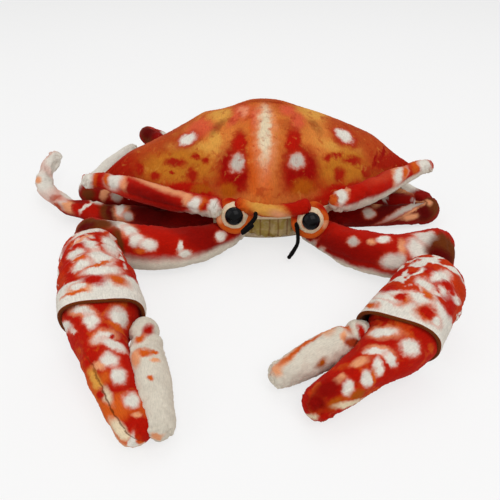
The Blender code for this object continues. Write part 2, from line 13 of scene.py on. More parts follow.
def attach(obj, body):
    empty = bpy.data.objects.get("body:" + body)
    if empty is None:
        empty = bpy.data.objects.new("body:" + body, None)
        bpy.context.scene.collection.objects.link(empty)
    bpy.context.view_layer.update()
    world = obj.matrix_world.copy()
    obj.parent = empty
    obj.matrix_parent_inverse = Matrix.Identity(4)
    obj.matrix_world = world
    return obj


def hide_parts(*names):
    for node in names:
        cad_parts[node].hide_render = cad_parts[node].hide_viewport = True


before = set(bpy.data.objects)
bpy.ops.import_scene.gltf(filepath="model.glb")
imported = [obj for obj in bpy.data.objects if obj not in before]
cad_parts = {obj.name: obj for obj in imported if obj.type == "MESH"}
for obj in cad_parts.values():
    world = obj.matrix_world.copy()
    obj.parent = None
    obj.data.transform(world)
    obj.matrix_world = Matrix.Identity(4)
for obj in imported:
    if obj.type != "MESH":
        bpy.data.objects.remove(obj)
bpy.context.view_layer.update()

SIDES = {"left": -1.0, "right": 1.0}
BODY_TURN = math.radians(3.0)

# Camera: its place, how far it is pitched up from straight down, and its lens on a square picture
CAMERA_PLACE = Vector((-0.013, -0.320, 0.187))
CAMERA_PITCH = math.radians(55.0)
LENS, SENSOR, PICTURE = 32.4, 36.0, 500
# Light: the world's strength, and the share of plain white in the floor
WORLD_LIGHT, PLAIN_WHITE = 0.46, 0.7
# Each side's own number, from which its pieces' unevenness comes
KEYS = {"left": 1.0, "right": 2.3}

# Carapace and belly
REACH = {"left": 0.126, "right": 0.117}
FRONT, BACK, SETBACK = 0.060, 0.070, 0.008
TOP, SEAM = 0.089, 0.036
THORAX = (0.062, 0.050, 0.052, 0.025)
BELLY_SHARE = 0.80
# Humps of the dome as (across, back, reach across, reach back, rise)
DOME_HUMPS = (
    (-0.110, 0.006, 0.020, 0.040, 0.0060), (-0.030, 0.010, 0.012, 0.050, -0.0018),
    (0.036, 0.010, 0.022, 0.050, -0.0030), (0.082, 0.010, 0.012, 0.040, 0.0025),
    (-0.047, 0.012, 0.008, 0.040, 0.0016),
)

# Eyes and face
EYE_PLACE = {"left": (-0.0235, -0.0580, 0.0325), "right": (0.0275, -0.0580, 0.0287)}
EYE_TILT = math.radians(24.0)
BRIDGE_WIDTHS = (0.0050, 0.0044, 0.0042, 0.0046, 0.0052)
FACE_PLACE = (0.0020, -0.0490, 0.0215)
PLEAT = 0.0062

# Limbs: the length, then the steps of (share of the length, heading, climb)
ARM = {
    "left": (0.107, (
        (0.1869, -48, 0), (0.2243, -35, 2), (0.2336, -12, 4), (0.1869, 2, 6), (0.1682, -6, 8))),
    "right": (0.096, (
        (0.2089, -48, 0), (0.2694, -46, 3), (0.2127, -32, 6), (0.1792, -18, 5), (0.1298, -20, 7))),
}
# Shapes as (share of the length, half width). A sleeve has three: across, above and below its route
SLEEVE_BELOW = ((0.0, 0.0150), (0.25, 0.0175), (0.50, 0.0188), (1.0, 0.0190))
SLEEVE_SHAPE = {
    "left": (
        ((0.0, 0.0150), (0.08, 0.0158), (0.42, 0.0188), (0.69, 0.0209), (0.92, 0.0226), (1.0, 0.0220)),
        ((0.0, 0.0145), (0.25, 0.0172), (0.60, 0.0190), (0.80, 0.0190), (1.0, 0.0170)),
        SLEEVE_BELOW,
    ),
    "right": (
        ((0.0, 0.0145), (0.25, 0.0170), (0.50, 0.0187), (0.80, 0.0200), (1.0, 0.0208)),
        ((0.0, 0.0140), (0.25, 0.0168), (0.60, 0.0186), (0.80, 0.0186), (1.0, 0.0166)),
        SLEEVE_BELOW,
    ),
}
SLEEVE_BEGIN = {"left": 0.010, "right": 0.027}
# The cuff: thickness of its cloth, depth of its turned-in skin, and its reach forward, which is
# flat + lean cos + bow cos squared - skew sin of the turn from the top
CUFF_CLOTH, CUFF_DEPTH = 0.0011, 0.018
HEM = {"left": (0.0010, 0.0015, 0.0010, 0.003), "right": (0.0020, 0.0020, 0.0010, 0.004)}
ELBOW_WIDTHS = {
    "left": (
        (0.0, 0.0085), (0.2, 0.0100), (0.4, 0.0125), (0.6, 0.0134), (0.8, 0.0142), (0.9, 0.0160),
        (1.0, 0.0165)),
    "right": (
        (0.0, 0.0085), (0.2, 0.0100), (0.4, 0.0125), (0.6, 0.0134), (0.72, 0.0142), (0.84, 0.0182),
        (1.0, 0.0192)),
}
SLEEVE = {
    "left": (0.078, ((0.3038, -102, 3), (0.2853, -112, 0), (0.2322, -113, -5), (0.1786, -109, -4))),
    "right": (0.081, ((0.2644, -99, 5), (0.2786, -123, 1), (0.2444, -128, -4), (0.2126, -129, -5))),
}
HAND_WIDTHS = {
    "left": (
        (0.0, 0.0185), (0.16, 0.0206), (0.25, 0.0176), (0.41, 0.0128), (0.66, 0.0105), (0.86, 0.0088),
        (1.0, 0.0072)),
    "right": (
        (0.0, 0.0175), (0.18, 0.0188), (0.28, 0.0164), (0.45, 0.0122), (0.66, 0.0103), (0.86, 0.0088),
        (1.0, 0.0070)),
}
RIM_WIDTHS = {
    "left": (0.0066, 0.0074, 0.0078, 0.0072, 0.0064, 0.0055),
    "right": (0.0066, 0.0080, 0.0085, 0.0075, 0.0060, 0.0050),
}
HAND = {
    "left": (0.082, (
        (0.1673, -104, -11), (0.1995, -106, -7), (0.2623, -120, -8), (0.2221, -121, -8),
        (0.1487, -128, -9))),
    "right": (0.070, (
        (0.2323, -125, -11), (0.2278, -140, -5), (0.2329, -146, -11), (0.1917, -148, -11),
        (0.1152, -150, -14))),
}
FINGER_WIDTHS = (
    (0.0, 0.0064), (0.13, 0.0069), (0.22, 0.0070), (0.38, 0.0086), (0.60, 0.0083), (0.82, 0.0072),
    (1.0, 0.0054),
)
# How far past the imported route's ends the cloth of each piece reaches, before and beyond it
HAND_MORE = {"left": (0.006, 0.002), "right": (0.006, 0.005)}
FINGER_MORE = {"left": (0.001, 0.002), "right": (0.006, 0.002)}
ELBOW_MORE = {"left": 0.012, "right": 0.013}
FINGER = {
    "left": (0.064, (
        (0.2511, -106, -4), (0.2347, -107, -8), (0.2095, -109, -11), (0.1936, -107, -9),
        (0.1111, -102, -12))),
    "right": (0.052, (
        (0.1883, -151, -6), (0.2040, -158, -14), (0.2123, -157, -11), (0.2052, -153, -11),
        (0.1901, -160, -12))),
}
FINGER_OFFSET = {"left": (0.0266, -157, -7), "right": (0.0252, -169, -7)}
LEG_RADII = (0.0080, 0.0083, 0.0078, 0.0080, 0.0074, 0.0068, 0.0060, 0.0056)
LEG_ROOTS = {1: (-45, 0.0120), 2: (-14, 0.0125), 3: (18, 0.0130), 4: (46, 0.0140)}
LEG = {
    ("left", 1): (0.215, (
        (0.2558, 1, 0), (0.2233, 11, 0), (0.1256, 23, 1), (0.1860, 47, 6), (0.2093, 86, 9))),
    ("left", 2): (0.201, (
        (0.2637, 8, 0), (0.2289, 14, 1), (0.1990, 91, 0), (0.0995, 98, 0), (0.2090, 106, 0))),
    ("left", 3): (0.161, (
        (0.2422, 38, 0), (0.2236, 48, 0), (0.1739, 75, -4), (0.1615, 100, -4), (0.1988, 120, -3))),
    ("left", 4): (0.172, (
        (0.2674, 34, 15), (0.2558, 37, 13), (0.1453, 100, -21), (0.1453, 115, -27),
        (0.1860, 130, -13))),
    ("right", 1): (0.188, (
        (0.2660, 2, -1), (0.2340, 14, -2), (0.1596, 112, 8), (0.1596, 130, 4), (0.1809, 112, -2))),
    ("right", 2): (0.158, (
        (0.2405, 10, -4), (0.1899, 6, -2), (0.1772, 100, 0), (0.1772, 104, 0), (0.2152, 96, 0))),
    ("right", 3): (0.162, (
        (0.2593, 60, -2), (0.2346, 66, 0), (0.1605, 95, -4), (0.1605, 120, -2), (0.1852, 140, 0))),
    ("right", 4): (0.154, (
        (0.2727, 78, -3), (0.2338, 86, 0), (0.1558, 140, -4), (0.1558, 165, -2), (0.1818, 175, 0))),
}
LEG_JOINTS = {1: (0.082, 0.104, 0.166), 2: (0.088,), 3: (0.075,), 4: (0.084,)}
FEELER_LENGTH = 0.030
ANTENNA = {
    "left": ((0.25, -98, -20), (0.42, -32, -40), (0.33, -166, 42)),
    "right": ((0.24, -86, -30), (0.34, -85, -78), (0.42, -149, -63)),
}

# Coarse grid of the cloth simulation, its frames, and the furthest that it may move a point
TRIAL_RINGS, TRIAL_AROUND = 34, 16
SWELLING_FRAMES = 20
FURTHEST_SWELLING = 0.0016


def unit(vectors):
    """Vectors over their own lengths."""
    return vectors / np.maximum(np.linalg.norm(vectors, axis=-1, keepdims=True), 1e-12)


def turned_with_body(points):
    """Points turned about Z by the body's small turn."""
    c, s = math.cos(BODY_TURN), math.sin(BODY_TURN)
    return np.asarray(points, float) @ np.array([[c, s, 0.0], [-s, c, 0.0], [0.0, 0.0, 1.0]])


def heading(side, turn, climb):
    """Unit direction: cos climb times (cos turn outwards, sin turn back), and sin climb up."""
    turn, climb = np.radians(turn), np.radians(climb)
    level = np.cos(climb)
    return np.stack([SIDES[side] * level * np.cos(turn), level * np.sin(turn), np.sin(climb)], -1)


def walk(side, start, limb):
    """Points reached from the start: the running sum of the steps' shares of the length."""
    length, steps = limb
    share, turn, climb = np.array(steps, float).T
    moves = length * share[:, None] * heading(side, turn, climb)
    return np.vstack([start, start + np.cumsum(moves, axis=0)])


def smooth_line(points, count=600):
    """Catmull-Rom curve through the points, read at even distances along it."""
    points = np.asarray(points, float)
    place = np.linspace(0.0, len(points) - 1.0, 2400)
    span = np.minimum(place.astype(int), len(points) - 2)
    t = (place - span)[:, None]
    before, here = points[np.maximum(span - 1, 0)], points[span]
    there, after = points[span + 1], points[np.minimum(span + 2, len(points) - 1)]
    line = 0.5 * (
        2 * here + t * (there - before) + t ** 2 * (2 * before - 5 * here + 4 * there - after)
        + t ** 3 * (3 * here - before - 3 * there + after)
    )
    gone = np.concatenate([[0.0], np.cumsum(np.linalg.norm(np.diff(line, axis=0), axis=1))])
    even = np.linspace(0.0, gone[-1], count)
    return read_at(even, gone, line), even


def bell(x):
    """exp(-x^2), the shape of every soft dent and swelling here."""
    return np.exp(-np.square(x))


def eased(low, high, x):
    """Smooth step from 0 at low to 1 at high: 3t^2 - 2t^3."""
    t = np.clip((x - low) / (high - low), 0.0, 1.0)
    return t * t * (3.0 - 2.0 * t)


def put_mesh(name, vertices, quads, triangles, quad_uv, triangle_uv):
    """Make an object from arrays: corners of quads, then of triangles, turned out by the volume's sign."""
    vertices = np.asarray(vertices, float)
    halves = np.vstack([quads[:, [0, 1, 2]], quads[:, [0, 2, 3]], triangles])
    corner = vertices[halves]
    volume = np.einsum("ij,ij->i", corner[:, 0], np.cross(corner[:, 1], corner[:, 2])).sum()
    if volume < 0.0:
        quads, triangles = quads[:, ::-1], triangles[:, ::-1]
        quad_uv, triangle_uv = quad_uv[:, ::-1], triangle_uv[:, ::-1]
    mesh = bpy.data.meshes.new(name)
    mesh.vertices.add(len(vertices))
    mesh.vertices.foreach_set("co", vertices.astype(np.float32).ravel())
    loops = np.concatenate([quads.ravel(), triangles.ravel()]).astype(np.int32)
    mesh.loops.add(len(loops))
    mesh.loops.foreach_set("vertex_index", loops)
    sizes = np.concatenate([np.full(len(quads), 4), np.full(len(triangles), 3)]).astype(np.int32)
    starts = np.concatenate([[0], np.cumsum(sizes)[:-1]]).astype(np.int32)
    mesh.polygons.add(len(sizes))
    mesh.polygons.foreach_set("loop_start", starts)
    mesh.polygons.foreach_set("loop_total", sizes)
    layer = mesh.uv_layers.new(name="sewn")
    layer.data.foreach_set("uv", np.concatenate([quad_uv.ravel(), triangle_uv.ravel()]).astype(np.float32))
    mesh.update(calc_edges=True)
    mesh.validate()
    mesh.shade_smooth()
    piece = bpy.data.objects.new(name, mesh)
    bpy.context.scene.collection.objects.link(piece)
    return piece


def closed_grid(name, grid, start, end, along, chart=None):
    """Close rings of points into a skin: quads between the rings, fans to a start and an end point.

    The map "sewn" has the distance along in tenths of a metre and the share of the turn around,
    or the chart's own two values at each point, its start and its end.
    """
    rings, turn = grid.shape[:2]
    index = np.arange(rings * turn).reshape(rings, turn)
    onward = np.roll(index, -1, axis=1)
    quads = np.stack([index[:-1], onward[:-1], onward[1:], index[1:]], -1).reshape(-1, 4)
    first, last = rings * turn, rings * turn + 1
    fans = np.vstack([
        np.stack([onward[0], index[0], np.full(turn, first)], -1),
        np.stack([index[-1], onward[-1], np.full(turn, last)], -1),
    ])
    u = np.asarray(along, float) * 10.0
    low = np.arange(turn) / turn
    high = low + 1.0 / turn
    near = np.broadcast_to(u[:-1, None], (rings - 1, turn))
    far = np.broadcast_to(u[1:, None], (rings - 1, turn))
    low2, high2 = np.broadcast_to(low, near.shape), np.broadcast_to(high, near.shape)
    quad_uv = np.stack([
        np.stack([near, low2], -1), np.stack([near, high2], -1),
        np.stack([far, high2], -1), np.stack([far, low2], -1),
    ], -2).reshape(-1, 4, 2)
    middle = 0.5 * (low + high)
    head, tail = np.full(turn, u[0]), np.full(turn, u[-1])
    fan_uv = np.vstack([
        np.stack([np.stack([head, high], -1), np.stack([head, low], -1), np.stack([head, middle], -1)], 1),
        np.stack([np.stack([tail, low], -1), np.stack([tail, high], -1), np.stack([tail, middle], -1)], 1),
    ])
    if chart is not None:
        quad_uv, fan_uv = chart[quads], chart[fans]
    vertices = np.vstack([grid.reshape(-1, 3), start, end])
    return put_mesh(name, vertices, quads, fans, quad_uv, fan_uv)


def stuffed(grid, first, last, held):
    """The rings let go as stuffed cloth: a coarse copy swells under pressure with slightly long cloth.

    Its ends and the rings at the held shares of the length stay. The movement of its points, no
    more than the furthest, is spread over the fine grid: linear along, eased round the turn.
    """
    rows = np.unique(np.linspace(0, len(grid) - 1, TRIAL_RINGS).round().astype(int))
    step = grid.shape[1] // TRIAL_AROUND
    coarse = grid[rows][:, ::step]
    count, around = coarse.shape[:2]
    piece = closed_grid("stuffing_trial", coarse, first, last, np.arange(count))
    pinned = {0, 1, count - 2, count - 1} | {int(round(share * (count - 1))) for share in held}
    group = piece.vertex_groups.new(name="held")
    group.add([row * around + i for row in pinned for i in range(around)], 1.0, "REPLACE")
    group.add([count * around, count * around + 1], 1.0, "REPLACE")
    before = points_of(piece.data)
    swell(piece)
    moved = points_of(piece.evaluated_get(bpy.context.evaluated_depsgraph_get()).to_mesh()) - before
    bpy.data.objects.remove(piece)
    bpy.context.scene.frame_set(1)
    moved = moved[:-2].reshape(count, around, 3)
    far = np.linalg.norm(moved, axis=-1, keepdims=True)
    moved = moved * np.minimum(1.0, FURTHEST_SWELLING / np.maximum(far, 1e-9))
    place = np.interp(np.arange(len(grid)), rows, np.arange(count))
    low = np.minimum(place.astype(int), count - 2)
    u = (place - low)[:, None, None]
    turn = np.arange(grid.shape[1]) / step
    left = turn.astype(int) % around
    v = eased(0.0, 1.0, turn - turn.astype(int))[None, :, None]
    across = moved[:, left] * (1.0 - v) + moved[:, (left + 1) % around] * v
    return grid + across[low] * (1.0 - u) + across[low + 1] * u


def points_of(mesh):
    """The mesh's points as an array."""
    values = np.empty(len(mesh.vertices) * 3)
    mesh.vertices.foreach_get("co", values)
    return values.reshape(-1, 3)


def swell(piece):
    """Cloth under pressure without gravity, pinned by the group "held", run to its last frame."""
    cloth = piece.modifiers.new("stuffing", "CLOTH")
    settings = cloth.settings
    settings.use_pressure, settings.uniform_pressure_force = True, 4.0
    settings.effector_weights.gravity = 0.0
    settings.vertex_group_mass, settings.mass, settings.shrink_min = "held", 0.002, -0.05
    settings.tension_stiffness = settings.compression_stiffness = 5.0
    settings.shear_stiffness, settings.bending_stiffness = 2.0, 0.05
    cloth.point_cache.frame_start, cloth.point_cache.frame_end = 1, SWELLING_FRAMES
    for number in range(1, SWELLING_FRAMES + 1):
        bpy.context.scene.frame_set(number)


def lumps(along, angle, key):
    """Soft unevenness of the stuffing: three sine waves over the length and the turn."""
    return (
        0.45 * np.sin(along * 150.0 + 2.0 * angle + 1.7 * key)
        + 0.33 * np.sin(along * 260.0 - 3.0 * angle + 2.9 * key)
        + 0.22 * np.sin(along * 430.0 + angle + 4.1 * key)
    )


def read_at(s, distance, values):
    """Vectors known at distances along a route, read at other distances."""
    return np.stack([np.interp(s, distance, values[:, i]) for i in range(3)], -1)


def limb_frame(points, side, stations, crowd=0.8):
    """A route read at stations that crowd at its ends: centre, direction, up, front and bend there."""
    line, distance = smooth_line(points)
    total = distance[-1]
    k = np.linspace(0.0, 1.0, stations + 2)[1:-1]
    s = total * (k - crowd * np.sin(2.0 * np.pi * k) / (2.0 * np.pi))
    slope = np.gradient(line, distance, axis=0)
    even = np.ones(9) / 9.0
    turning = np.gradient(unit(slope), distance, axis=0)
    turning = np.stack([np.convolve(column, even, "same") for column in turning.T], -1)
    centre, slope, bend = (read_at(s, distance, values) for values in (line, slope, turning))
    return s, total, centre, *upright(unit(slope), side), bend, line[0], line[-1]


def upright(tangent, side):
    """A direction with its up and front directions, across it: front is the crab's front side."""
    front = unit(np.cross(tangent, (0.0, 0.0, 1.0))) * SIDES[side]
    up = unit(np.cross(front, tangent))
    return tangent, np.where(up[:, 2:] < 0.0, -up, up), front


def profile(widths, share):
    """Half widths at shares of a length, from evenly spaced ones or from (share, half width) pairs."""
    widths = np.array(widths, float)
    if widths.ndim == 1:
        widths = np.stack([np.linspace(0.0, 1.0, len(widths)), widths], -1)
    return np.interp(share, widths[:, 0], widths[:, 1])


def longer(points, before, beyond):
    """A route carried on by distances before its first point and beyond its last one."""
    first = points[0] - before * unit(points[1] - points[0])
    last = points[-1] + beyond * unit(points[-1] - points[-2])
    return np.vstack([first, points[1:-1], last])


def limb(
    name, points, side, widths, key, seams=(), gathers=(), folds=0.5, fold_step=0.0055, height=1.0,
    caps=None, stations=150, around=64, uneven=0.035, seam_depth=0.0005, tufts=0.00012,
):
    """Stuffed limb: rings of half width R(s) round its route, closed by rounded ends.

    Each half width is R(s) times 1 + lumps, less a bell-shaped dent along each seam and at each
    gather, with pleats there, less folds across the inner side of a bend, as deep as the bend is
    sharp, plus the pile's tufts. Around is 0 at the bottom, a quarter in front, a half on top.
    """
    s, total, centre, _, up, front, bend, first, last = limb_frame(points, side, stations)
    radius = profile(widths, s / total)
    radius = np.convolve(np.pad(radius, 3, "edge"), np.ones(7) / 7.0, "valid")
    head, tail = caps or (radius[0], radius[-1])
    cap = np.sqrt(np.clip(1.0 - np.square(np.clip(1.0 - s / head, 0.0, 1.0)), 0.0, 1.0))
    cap *= np.sqrt(np.clip(1.0 - np.square(np.clip(1.0 - (total - s) / tail, 0.0, 1.0)), 0.0, 1.0))
    turn = np.arange(around) / around
    angle = 2.0 * np.pi * turn - np.pi
    S, A = s[:, None], angle[None, :]
    toward = np.cos(A)[..., None] * up[:, None] - np.sin(A)[..., None] * front[:, None]
    R = radius[:, None] * (1.0 + uneven * lumps(S, A, key))
    for seam, begin, stop in seams:
        gap = np.abs((turn - seam + 0.5) % 1.0 - 0.5)[None, :] * 2.0 * np.pi * radius[:, None]
        on = eased(begin - 0.004, begin + 0.004, S) * (1.0 - eased(stop - 0.004, stop + 0.004, S))
        pucker = 1.0 + 0.5 * np.sin(S * 2.0 * np.pi / 0.0042 + 9.0 * seam)
        R = R - on * seam_depth * (1.6 * bell(gap / 0.0011) + 0.8 * bell(gap / 0.0035) * pucker)
    for place, reach, depth, pleats in gathers:
        near = bell((S - place) / reach)
        pleated = 1.0 + 0.35 * np.cos(pleats * A + 1.3 * key) + 0.2 * np.cos((pleats + 5) * A + key)
        R = R - depth * near * pleated
        R = R + 0.45 * depth * bell((np.abs(S - place) - 2.0 * reach) / (1.3 * reach))
    inner = np.clip(np.einsum("nmk,nk->nm", toward, bend) * radius[:, None], 0.0, 1.2)
    wave = np.sin(S * 2.0 * np.pi / fold_step + 1.6 * np.sin(A + key) + key)
    R = R + folds * radius[:, None] * 0.16 * inner * wave
    R = (R + tuft(R.shape, key, tufts)) * cap[:, None]
    ratio = 1.0 - (1.0 - height) * np.square(np.cos(A))
    grid = centre[:, None] + (R * ratio)[..., None] * toward
    held = [np.interp(place, s, np.linspace(0.0, 1.0, len(s))) for place, *_ in gathers]
    grid = stuffed(grid, first, last, held)
    return closed_grid(name, grid, first, last, s)


def tuft(shape, key, size):
    """Tufts of the pile: a seeded random height at each point of a grid."""
    return size * np.clip(np.random.default_rng(int(key * 100)).standard_normal(shape), -2.0, 2.0)


def arm_points(side):
    """Route of the upper arm from its root in the body."""
    root = turned_with_body((SIDES[side] * 0.022, -0.040, 0.0145))
    return walk(side, root, ARM[side])


def elbow_points(side):
    """The arm's route, carried on to the outside of the elbow."""
    return longer(arm_points(side), 0.0, ELBOW_MORE[side])


def sleeve_points(side):
    """Route of the forearm sleeve from inside the elbow."""
    start = arm_points(side)[-1] - 0.005 * heading(side, SLEEVE[side][1][0][1], 0)
    return walk(side, start, SLEEVE[side])


def hand_points(side):
    """Route of the hand from inside the sleeve."""
    last = SLEEVE[side][1][-1]
    return walk(side, sleeve_points(side)[-1] - 0.010 * heading(side, last[1], last[2]), HAND[side])


def finger_points(side):
    """Route of the movable finger from beside the hand's root."""
    length, turn, climb = FINGER_OFFSET[side]
    return walk(side, hand_points(side)[0] + length * heading(side, turn, climb), FINGER[side])


def thorax_plan(angle):
    """Oval plan of the thorax, its front and back reaches apart."""
    reach = np.where(np.sin(angle) < 0.0, THORAX[1], THORAX[2])
    return np.stack([THORAX[0] * np.cos(angle), reach * np.sin(angle)], -1)


def leg_points(side, number):
    """Route of a leg from its root inside the thorax's wall."""
    bearing, rise = LEG_ROOTS[number]
    wall = thorax_plan(np.radians(bearing))
    root = wall * (1.0 - 0.014 / np.linalg.norm(wall))
    return walk(side, turned_with_body((SIDES[side] * root[0], root[1], rise)), LEG[side, number])


def carapace_plan(angle):
    """Plan outline: reach times cos across; in front the cube of the sine, behind its power 1.3."""
    side, depth = np.cos(angle), np.abs(np.sin(angle))
    reach = REACH["left"] + (REACH["right"] - REACH["left"]) * eased(-0.35, 0.35, side)
    ahead = -SETBACK - (FRONT - SETBACK) * depth ** 3.0
    behind = -SETBACK + (BACK + SETBACK) * depth ** 1.3
    return np.stack([reach * side, np.where(np.sin(angle) < 0.0, ahead, behind)], -1)


def carapace(rings=120, around=224):
    """Dome over the plan outline, closed below by a shallow inner skin at the seam.

    At a share of the way out the plan runs from the middle to the outline, an oval near the
    middle and the outline's own shape further out. The height falls with a power of the cosine
    of the share, steeper at the sides than in front, plus a small round edge. The chart of the
    prints has the distance across, and the distance from the ridge forwards or back.
    """
    middle = np.array([0.0, 0.005])
    k = np.linspace(0.0, 1.0, rings + 1)[1:]
    angle = 2.0 * np.pi * np.arange(around) / around
    K, A = k[:, None], angle[None, :]
    out = np.sin(K * np.pi / 2.0)
    edge = carapace_plan(angle)[None] - middle
    depth = np.where(np.sin(angle) < 0.0, 0.058, 0.060)
    oval = np.stack([0.112 * np.cos(angle), depth * np.sin(angle)], -1)[None]
    mix = (out ** 1.5)[..., None]
    plan = middle + out[..., None] * (oval * (1.0 - mix) + edge * mix)
    level = np.cos(K * np.pi / 2.0)
    fall = 2.8 * np.square(np.cos(A)) + 1.4 * np.square(np.sin(A))
    swell = 0.8 * level ** fall + 0.2 * level ** 0.8
    x, y = plan[..., 0], plan[..., 1]
    z = SEAM + (TOP - SEAM) * swell
    z = z + 0.0008 * lumps(x * 0.6, y * 20.0, 1.0) * (1.0 - out)
    for px, py, wide, deep, rise in DOME_HUMPS:
        z = z + rise * bell((x - px) / wide) * bell((y - py) / deep) * (1.0 - out ** 10)
    z = z - 0.0007 * bell(x / 0.0016) * eased(0.010, -0.010, y) * level
    z = z + 0.0007 * np.sin(A * 46.0 + 1.5 * np.sin(3.0 * A)) * out ** 12 + tuft(z.shape, 5.0, 0.00012)
    upper = np.stack([x, y, z], -1)
    k2 = np.linspace(1.0, 0.0, 12)[1:-1]
    under = middle + k2[:, None, None] * edge
    sunk = np.broadcast_to(SEAM - 0.0005 - 0.003 * (1.0 - k2[:, None]), under.shape[:2])
    lower = np.stack([under[..., 0], under[..., 1], sunk], -1)
    grid = np.vstack([upper, lower])
    ridge = np.vstack([upper[::-1, around // 2], [(0.0, 0.005, TOP)], upper[:, 0]])
    points = np.vstack([grid.reshape(-1, 3), (0.0, 0.005, TOP), (0.0, 0.005, SEAM)])
    ahead = points[:, 1] - np.interp(points[:, 0], ridge[:, 0], ridge[:, 1])
    below = np.interp(points[:, 0], ridge[:, 0], ridge[:, 2]) - points[:, 2]
    chart = 10.0 * np.stack([points[:, 0], np.sign(ahead) * np.hypot(ahead, below)], -1)
    flat = turned_with_body(grid.reshape(-1, 3)).reshape(grid.shape)
    top, bottom = turned_with_body((0.0, 0.005, TOP)), turned_with_body((0.0, 0.005, SEAM - 0.0035))
    return closed_grid("carapace_plush", flat, top, bottom, np.zeros(len(grid)), chart)


def underside(rings=60, around=160):
    """Brim and belly below the seam: the profile from the seam over brim, neck and belly edge."""
    angle = 2.0 * np.pi * np.arange(around) / around
    seam = np.concatenate([carapace_plan(angle), np.full((around, 1), SEAM)], -1)
    drawn_in = 1.0 - 0.13 * np.square(np.minimum(np.sin(angle), 0.0))
    thorax = thorax_plan(angle) * drawn_in[:, None]

    def between(share, z):
        """Plan point at a share of the way from the thorax to the seam, at a height."""
        return np.concatenate([thorax + share * (seam[:, :2] - thorax), np.full((around, 1), z)], -1)

    def shrunk(share, z):
        """Plan point of the thorax times a share, at a height."""
        return np.concatenate([thorax * share, np.full((around, 1), z)], -1)

    profile = [seam - (0.0, 0.0, 0.0004), between(0.97, SEAM - 0.0038), between(0.84, SEAM - 0.0075),
               between(0.4, SEAM - 0.0085), shrunk(1.0, 0.0235), shrunk(1.01, 0.0125), shrunk(0.97, 0.0045),
               shrunk(0.88, 0.0010), shrunk(BELLY_SHARE, 0.0), shrunk(0.4, 0.0)]
    profile = np.array(profile)
    place = np.linspace(0.0, len(profile) - 1.0, rings)
    span = np.minimum(place.astype(int), len(profile) - 2)
    t = (place - span)[:, None, None]
    grid = profile[span] * (1.0 - t) + profile[span + 1] * t
    flat = turned_with_body(grid.reshape(-1, 3)).reshape(grid.shape)
    return closed_grid("underside_plush", flat, turned_with_body((0.0, 0.005, SEAM - 0.002)), (0.0, 0.0, 0.0),
                       np.linspace(0.0, 0.12, rings))


def eye_axes(side):
    """Middle of the eyeball and the directions across, up and out of the eye."""
    c, s = math.cos(EYE_TILT), math.sin(EYE_TILT)
    return np.array(EYE_PLACE[side]), np.array([1.0, 0, 0]), np.array([0.0, s, c]), np.array([0.0, -c, s])


def turned_form(name, side, profile, around=64, wobble=None):
    """Profile of (radius, height) carried round the eye's axis, with an optional change of radius."""
    place, across, up, out = eye_axes(side)
    profile = np.asarray(profile, float)
    angle = 2.0 * np.pi * np.arange(around) / around
    radius = np.broadcast_to(profile[1:-1, :1], (len(profile) - 2, around)).copy()
    height = np.broadcast_to(profile[1:-1, 1:], radius.shape).copy()
    if wobble is not None:
        radius, height = wobble(radius, height, angle[None, :])
    ring = np.cos(angle)[:, None] * across + np.sin(angle)[:, None] * up
    grid = place + radius[..., None] * ring[None] + height[..., None] * out
    ends = [place + profile[i, 1] * out for i in (0, -1)]
    return closed_grid(name, grid, ends[0], ends[1], np.linspace(0.0, 0.02, len(profile) - 2))


def eyeball(side):
    """Stuffed ball round the plastic eye: a half circle turned, with small lumps at its rim."""
    t = np.linspace(0.0, np.pi, 40)
    profile = np.stack([0.0095 * np.sin(t), -0.0095 * np.cos(t)], -1)
    key = 1.0 if side == "left" else 2.0

    def wobble(radius, height, angle):
        """Radius with five and eleven lumps round it, and a dent under the plastic eye."""
        change = 1.0 + 0.02 * np.sin(5.0 * angle + key) + 0.012 * np.sin(11.0 * angle + 2.0 * key)
        return radius * change, height - 0.0016 * bell(radius / 0.0052) * (height > 0.0)

    return turned_form(f"eyeball_plush_{side}", side, profile, 72, wobble)


def orbit(side):
    """Stuffed ring round the eyeball: a circle of 3.1 mm carried round at 9.8 mm, with gathers."""
    place, across, up, out = eye_axes(side)
    around, rings = 40, 96
    big = 2.0 * np.pi * np.arange(rings) / rings
    small = 2.0 * np.pi * np.arange(around) / around
    B, T = big[:, None], small[None, :]
    gathered = 0.07 * np.sin(14.0 * B + 1.0) * bell((T - np.pi) / 1.2)
    tube = 0.0031 * (1.0 + gathered + 0.05 * np.sin(5.0 * B + 2.0))
    radius = 0.0098 + tube * np.cos(T)
    height = tube * np.sin(T)
    ring = np.cos(B)[..., None] * across + np.sin(B)[..., None] * up
    grid = place + radius[..., None] * ring + height[..., None] * out
    index = np.arange(rings * around).reshape(rings, around)
    right, below = np.roll(index, -1, axis=0), np.roll(index, -1, axis=1)
    both = np.roll(right, -1, axis=1)
    quads = np.stack([index, right, both, below], -1).reshape(-1, 4)
    u0 = np.broadcast_to((np.arange(rings) / rings)[:, None], index.shape)
    v0 = np.broadcast_to((np.arange(around) / around)[None], index.shape)
    du, dv = 1.0 / rings, 1.0 / around
    uv = np.stack([
        np.stack([u0, v0], -1), np.stack([u0 + du, v0], -1),
        np.stack([u0 + du, v0 + dv], -1), np.stack([u0, v0 + dv], -1),
    ], -2).reshape(-1, 4, 2)
    no_fans = np.zeros((0, 3), int), np.zeros((0, 3, 2))
    return put_mesh(f"orbit_plush_{side}", grid.reshape(-1, 3), quads, no_fans[0], uv, no_fans[1])


